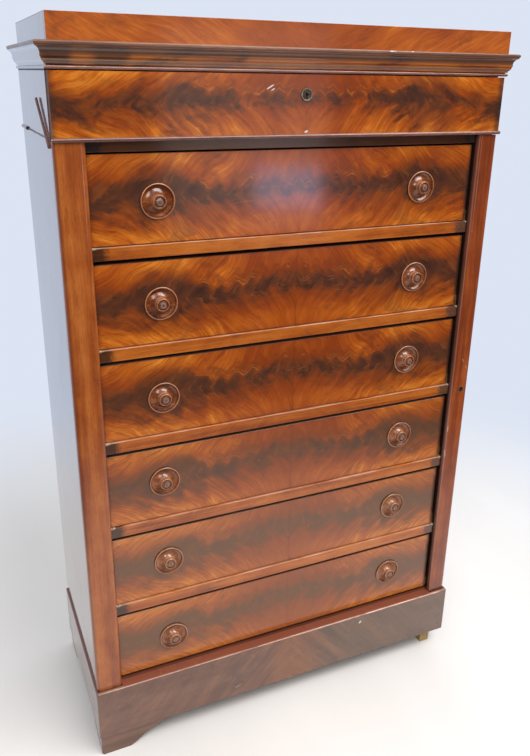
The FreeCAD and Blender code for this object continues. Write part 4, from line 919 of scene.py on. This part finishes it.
knob_wear = (0.0, 0.0, 0.08, 0.20, 0.38, 0.34)  # from the top drawer down
for drawer, worn in zip(drawers, knob_wear):
    knobs = drawer + "knobs"
    coverings.append((turned_mahogany("turned_" + knobs, knobs, worn), [knobs]))
for material, pieces in coverings:
    for piece in pieces:
        nodes[piece].material_slots[0].material = material


# ---- hinge screws ----

def placed(name, data):
    """A new object of the scene, round a mesh, a lamp or a camera."""
    made = bpy.data.objects.new(name, data)
    bpy.context.scene.collection.objects.link(made)
    return made


def leaf_middles(node):
    """Middle of every leaf of the hinges, found from the free edges of the leaves."""
    free_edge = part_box(node)[0].x
    points = [vertex.co for vertex in nodes[node].data.vertices]
    ends = sorted({round(point.z, 4) for point in points if point.x < free_edge + 0.0002})
    middle_x = (free_edge + side_edge_x) / 2
    return [(middle_x, (first + last) / 2) for first, last in zip(ends[::2], ends[1::2])]


def screw_tree(material):
    """Geometry nodes: at every point a column of screw heads, each slot at its own turn."""
    group = bpy.data.node_groups.new("hinge_screws", "GeometryNodeTree")
    for label, kind in (("Leaves", "Geometry"), ("Radius", "Float"), ("Thickness", "Float"),
                        ("Slot width", "Float"), ("Slot depth", "Float"), ("Spread", "Float"),
                        ("Per leaf", "Int"), ("Facing", "Float"), ("Seed", "Int")):
        group.interface.new_socket(label, in_out="INPUT", socket_type="NodeSocket" + kind)
    group.interface.new_socket("Screws", in_out="OUTPUT", socket_type="NodeSocketGeometry")
    shape = Nodes(group)
    given = {socket.name: Wire(shape, socket)
             for socket in group.nodes.new("NodeGroupInput").outputs}

    def step(kind, settings=None, **inputs):
        """A geometry node whose sockets are named with _ for a space."""
        feeds = {label.replace("_", " "): value for label, value in inputs.items()}
        return shape.node("GeometryNode" + kind, settings, feeds)

    head = step("MeshCylinder", Vertices=28, Radius=given["Radius"], Depth=given["Thickness"])
    head = step("Transform", Geometry=head, Rotation=(math.pi / 2, 0.0, 0.0))
    slot_size = shape.vector(given["Slot width"], given["Slot depth"] * 2.0, given["Radius"] * 3.0)
    slot = step("MeshCube", Size=slot_size)
    slot = step("Transform", Geometry=slot,
                Translation=shape.vector(0.0, given["Thickness"] * -0.5, 0.0))
    head = step("MeshBoolean", {"operation": "DIFFERENCE", "solver": "EXACT"},
                Mesh_1=head, Mesh_2=slot)
    head = step("Transform", Geometry=head, Rotation=shape.vector(0.0, 0.0, given["Facing"]))
    column = step("MeshLine", {"mode": "OFFSET"}, Count=given["Per leaf"],
                  Start_Location=shape.vector(0.0, 0.0, given["Spread"] * -1.0),
                  Offset=shape.vector(0.0, 0.0, given["Spread"]))
    columns = step("InstanceOnPoints", Points=given["Leaves"], Instance=column)
    columns = step("RealizeInstances", Geometry=columns)
    turn = shape.node("FunctionNodeRandomValue", {"data_type": "FLOAT"},
                      {2: 0.0, 3: math.pi, 8: given["Seed"]}, output=1)
    screws = step("InstanceOnPoints", Points=columns, Instance=head,
                  Rotation=shape.vector(0.0, turn, 0.0))
    screws = step("RealizeInstances", Geometry=screws)
    screws = step("SetMaterial", Geometry=screws, Material=material)
    shape.feed(shape.node("NodeGroupOutput").inputs["Screws"], screws)
    return group


def hinge_screws(tree, node, body, side, seed):
    """Screws of the leaves of one body, as one plain mesh; side is +1 where the leaves face +Y."""
    height = hinge_y - side * (screw_proud + screw_sizes["Thickness"] / 2)
    mesh = bpy.data.meshes.new("screw_places")
    mesh.from_pydata([(x, height, z) for x, z in leaf_middles(node)], [], [])
    holder = placed("screw_places", mesh)
    modifier = holder.modifiers.new("screws", "NODES")
    modifier.node_group = tree
    values = {**screw_sizes, "Facing": math.pi if side > 0 else 0.0, "Seed": seed}
    for socket in tree.interface.items_tree:
        if socket.in_out == "INPUT" and socket.name in values:
            modifier[socket.identifier] = values[socket.name]
    graph = bpy.context.evaluated_depsgraph_get()
    plain = bpy.data.meshes.new_from_object(holder.evaluated_get(graph))
    plain.name = "%s_hinge_screws" % body
    piece = placed(plain.name, plain)
    holder.modifiers.remove(modifier)
    bpy.data.objects.remove(holder)
    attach(piece, body)


screws = screw_tree(screw_iron())
hinge_screws(screws, "hinge_case_leaves", "case", -1.0, 3)
hinge_screws(screws, "hinge_stile_leaves", "stile", 1.0, 8)


# ---- floor, light and camera ----

backdrop, pale_wall = (0.72, 0.78, 0.90), (0.58, 0.66, 0.80)
dim_room, ceiling = (0.095, 0.090, 0.088), (0.80, 0.80, 0.82)
floor_grey, floor_pale = (0.80, 0.785, 0.765), (0.88, 0.865, 0.845)
floor_reach = 14.0


def floor():
    """Plain pale floor that the chest stands on, fading into the backdrop far out."""
    mesh = bpy.data.meshes.new("floor")
    near, far = -floor_reach, floor_reach
    mesh.from_pydata([(near, near, 0.0), (far, near, 0.0), (far, far, 0.0), (near, far, 0.0)],
                     [], [(0, 1, 2, 3)])
    finish = Finish("pale_floor", roughness=0.5, Specular_IOR_Level=0.25)
    cloud = finish.noise(finish.x * 2.5, finish.y * 0.8, 0.0, detail=4.0)
    finish.colour = finish.ramp(cloud, (0.3, floor_grey), (0.7, floor_pale))
    finish.done()
    # The far floor gives back the backdrop to the camera, and the room's tones to the polish.
    room = finish.blend(finish.ease(finish.y, -0.6, 0.3), dim_room, pale_wall)
    is_camera_ray = finish.node("ShaderNodeLightPath")
    tint = finish.blend(is_camera_ray, room, backdrop)
    glow = finish.node("ShaderNodeEmission", inputs={"Color": tint, "Strength": 1.0})
    fade = finish.ease(finish.distance(finish.x, finish.y), 0.75, 2.0)
    faded = finish.node("ShaderNodeMixShader", inputs={
        0: fade, 1: Wire(finish, finish.shader.outputs[0]), 2: glow})
    finish.feed(finish.surface, faded)
    mesh.materials.append(finish.material)
    plane = placed("floor", mesh)


def studio_world():
    """Soft room: pale wall behind and beside the chest, white ceiling, dim room in front."""
    world = bpy.data.worlds.new("studio")
    world.use_nodes = True
    room = Nodes(world.node_tree)
    direction = room.node("ShaderNodeTexCoord", output="Generated")
    inwards, upwards = room.parts("ShaderNodeSeparateXYZ", direction)[1:]
    is_camera_ray = room.node("ShaderNodeLightPath")
    colour = room.blend(room.ease(inwards, -0.30, 0.20), dim_room, pale_wall)
    colour = room.blend(room.ease(upwards, 0.30, 0.75), colour, ceiling)
    colour = room.blend(room.ease(is_camera_ray, 0.0, 1.0), colour, backdrop)
    light = room.node("ShaderNodeBackground", inputs={"Color": colour})
    room.feed(room.node("ShaderNodeOutputWorld").inputs["Surface"], light)
    bpy.context.scene.world = world


def soft_lamp(name, place, aim_z, width, height, power, colour):
    """Rectangular soft lamp, aimed at a height on the upright line through the chest."""
    lamp = bpy.data.lights.new(name, "AREA")
    lamp.shape = "RECTANGLE"
    lamp.size, lamp.size_y = width, height
    lamp.energy = power
    lamp.color = colour
    holder = placed(name, lamp)
    holder.location = place
    aim = Vector((0.0, 0.0, aim_z)) - Vector(place)
    holder.rotation_euler = aim.to_track_quat("-Z", "Y").to_euler()


def camera():
    """Eye a little above the cornice, left of the chest, looking down at it."""
    eye = Vector((-0.6303, -1.4393, 1.4200))
    right = Vector((0.91520, -0.40270, 0.01539))
    up = Vector((0.12770, 0.32601, 0.93670))
    back = right.cross(up)
    lens = bpy.data.cameras.new("camera")
    lens.sensor_width = 36.0
    lens.lens = 35.17
    lens.shift_x, lens.shift_y = -0.0022, -0.0365
    lens.clip_start = 0.05
    holder = placed("camera", lens)
    holder.matrix_world = Matrix((
        (right.x, up.x, back.x, eye.x), (right.y, up.y, back.y, eye.y),
        (right.z, up.z, back.z, eye.z), (0.0, 0.0, 0.0, 1.0)))
    bpy.context.scene.camera = holder


floor()
studio_world()
# Lamps: name, place, height aimed at, width and height of the pane, watts, colour.
for lamp in (("ceiling_lamp", (1.1, -1.9, 3.7), 0.8, 3.2, 1.2, 118.0, (1.0, 0.98, 0.95)),
             ("left_lamp", (-1.9, -2.6, 2.4), 0.9, 1.2, 1.2, 32.0, (1.0, 0.97, 0.93)),
             ("window", (1.43, -3.2, 0.75), 1.2, 0.42, 0.26, 1.45, (0.74, 0.67, 1.0)),
             ("curtain", (1.16, -3.3, 1.07), 1.2, 1.00, 1.26, 3.6, (1.0, 0.88, 0.80))):
    soft_lamp(*lamp)
camera()
bpy.context.scene.view_settings.view_transform = "Standard"
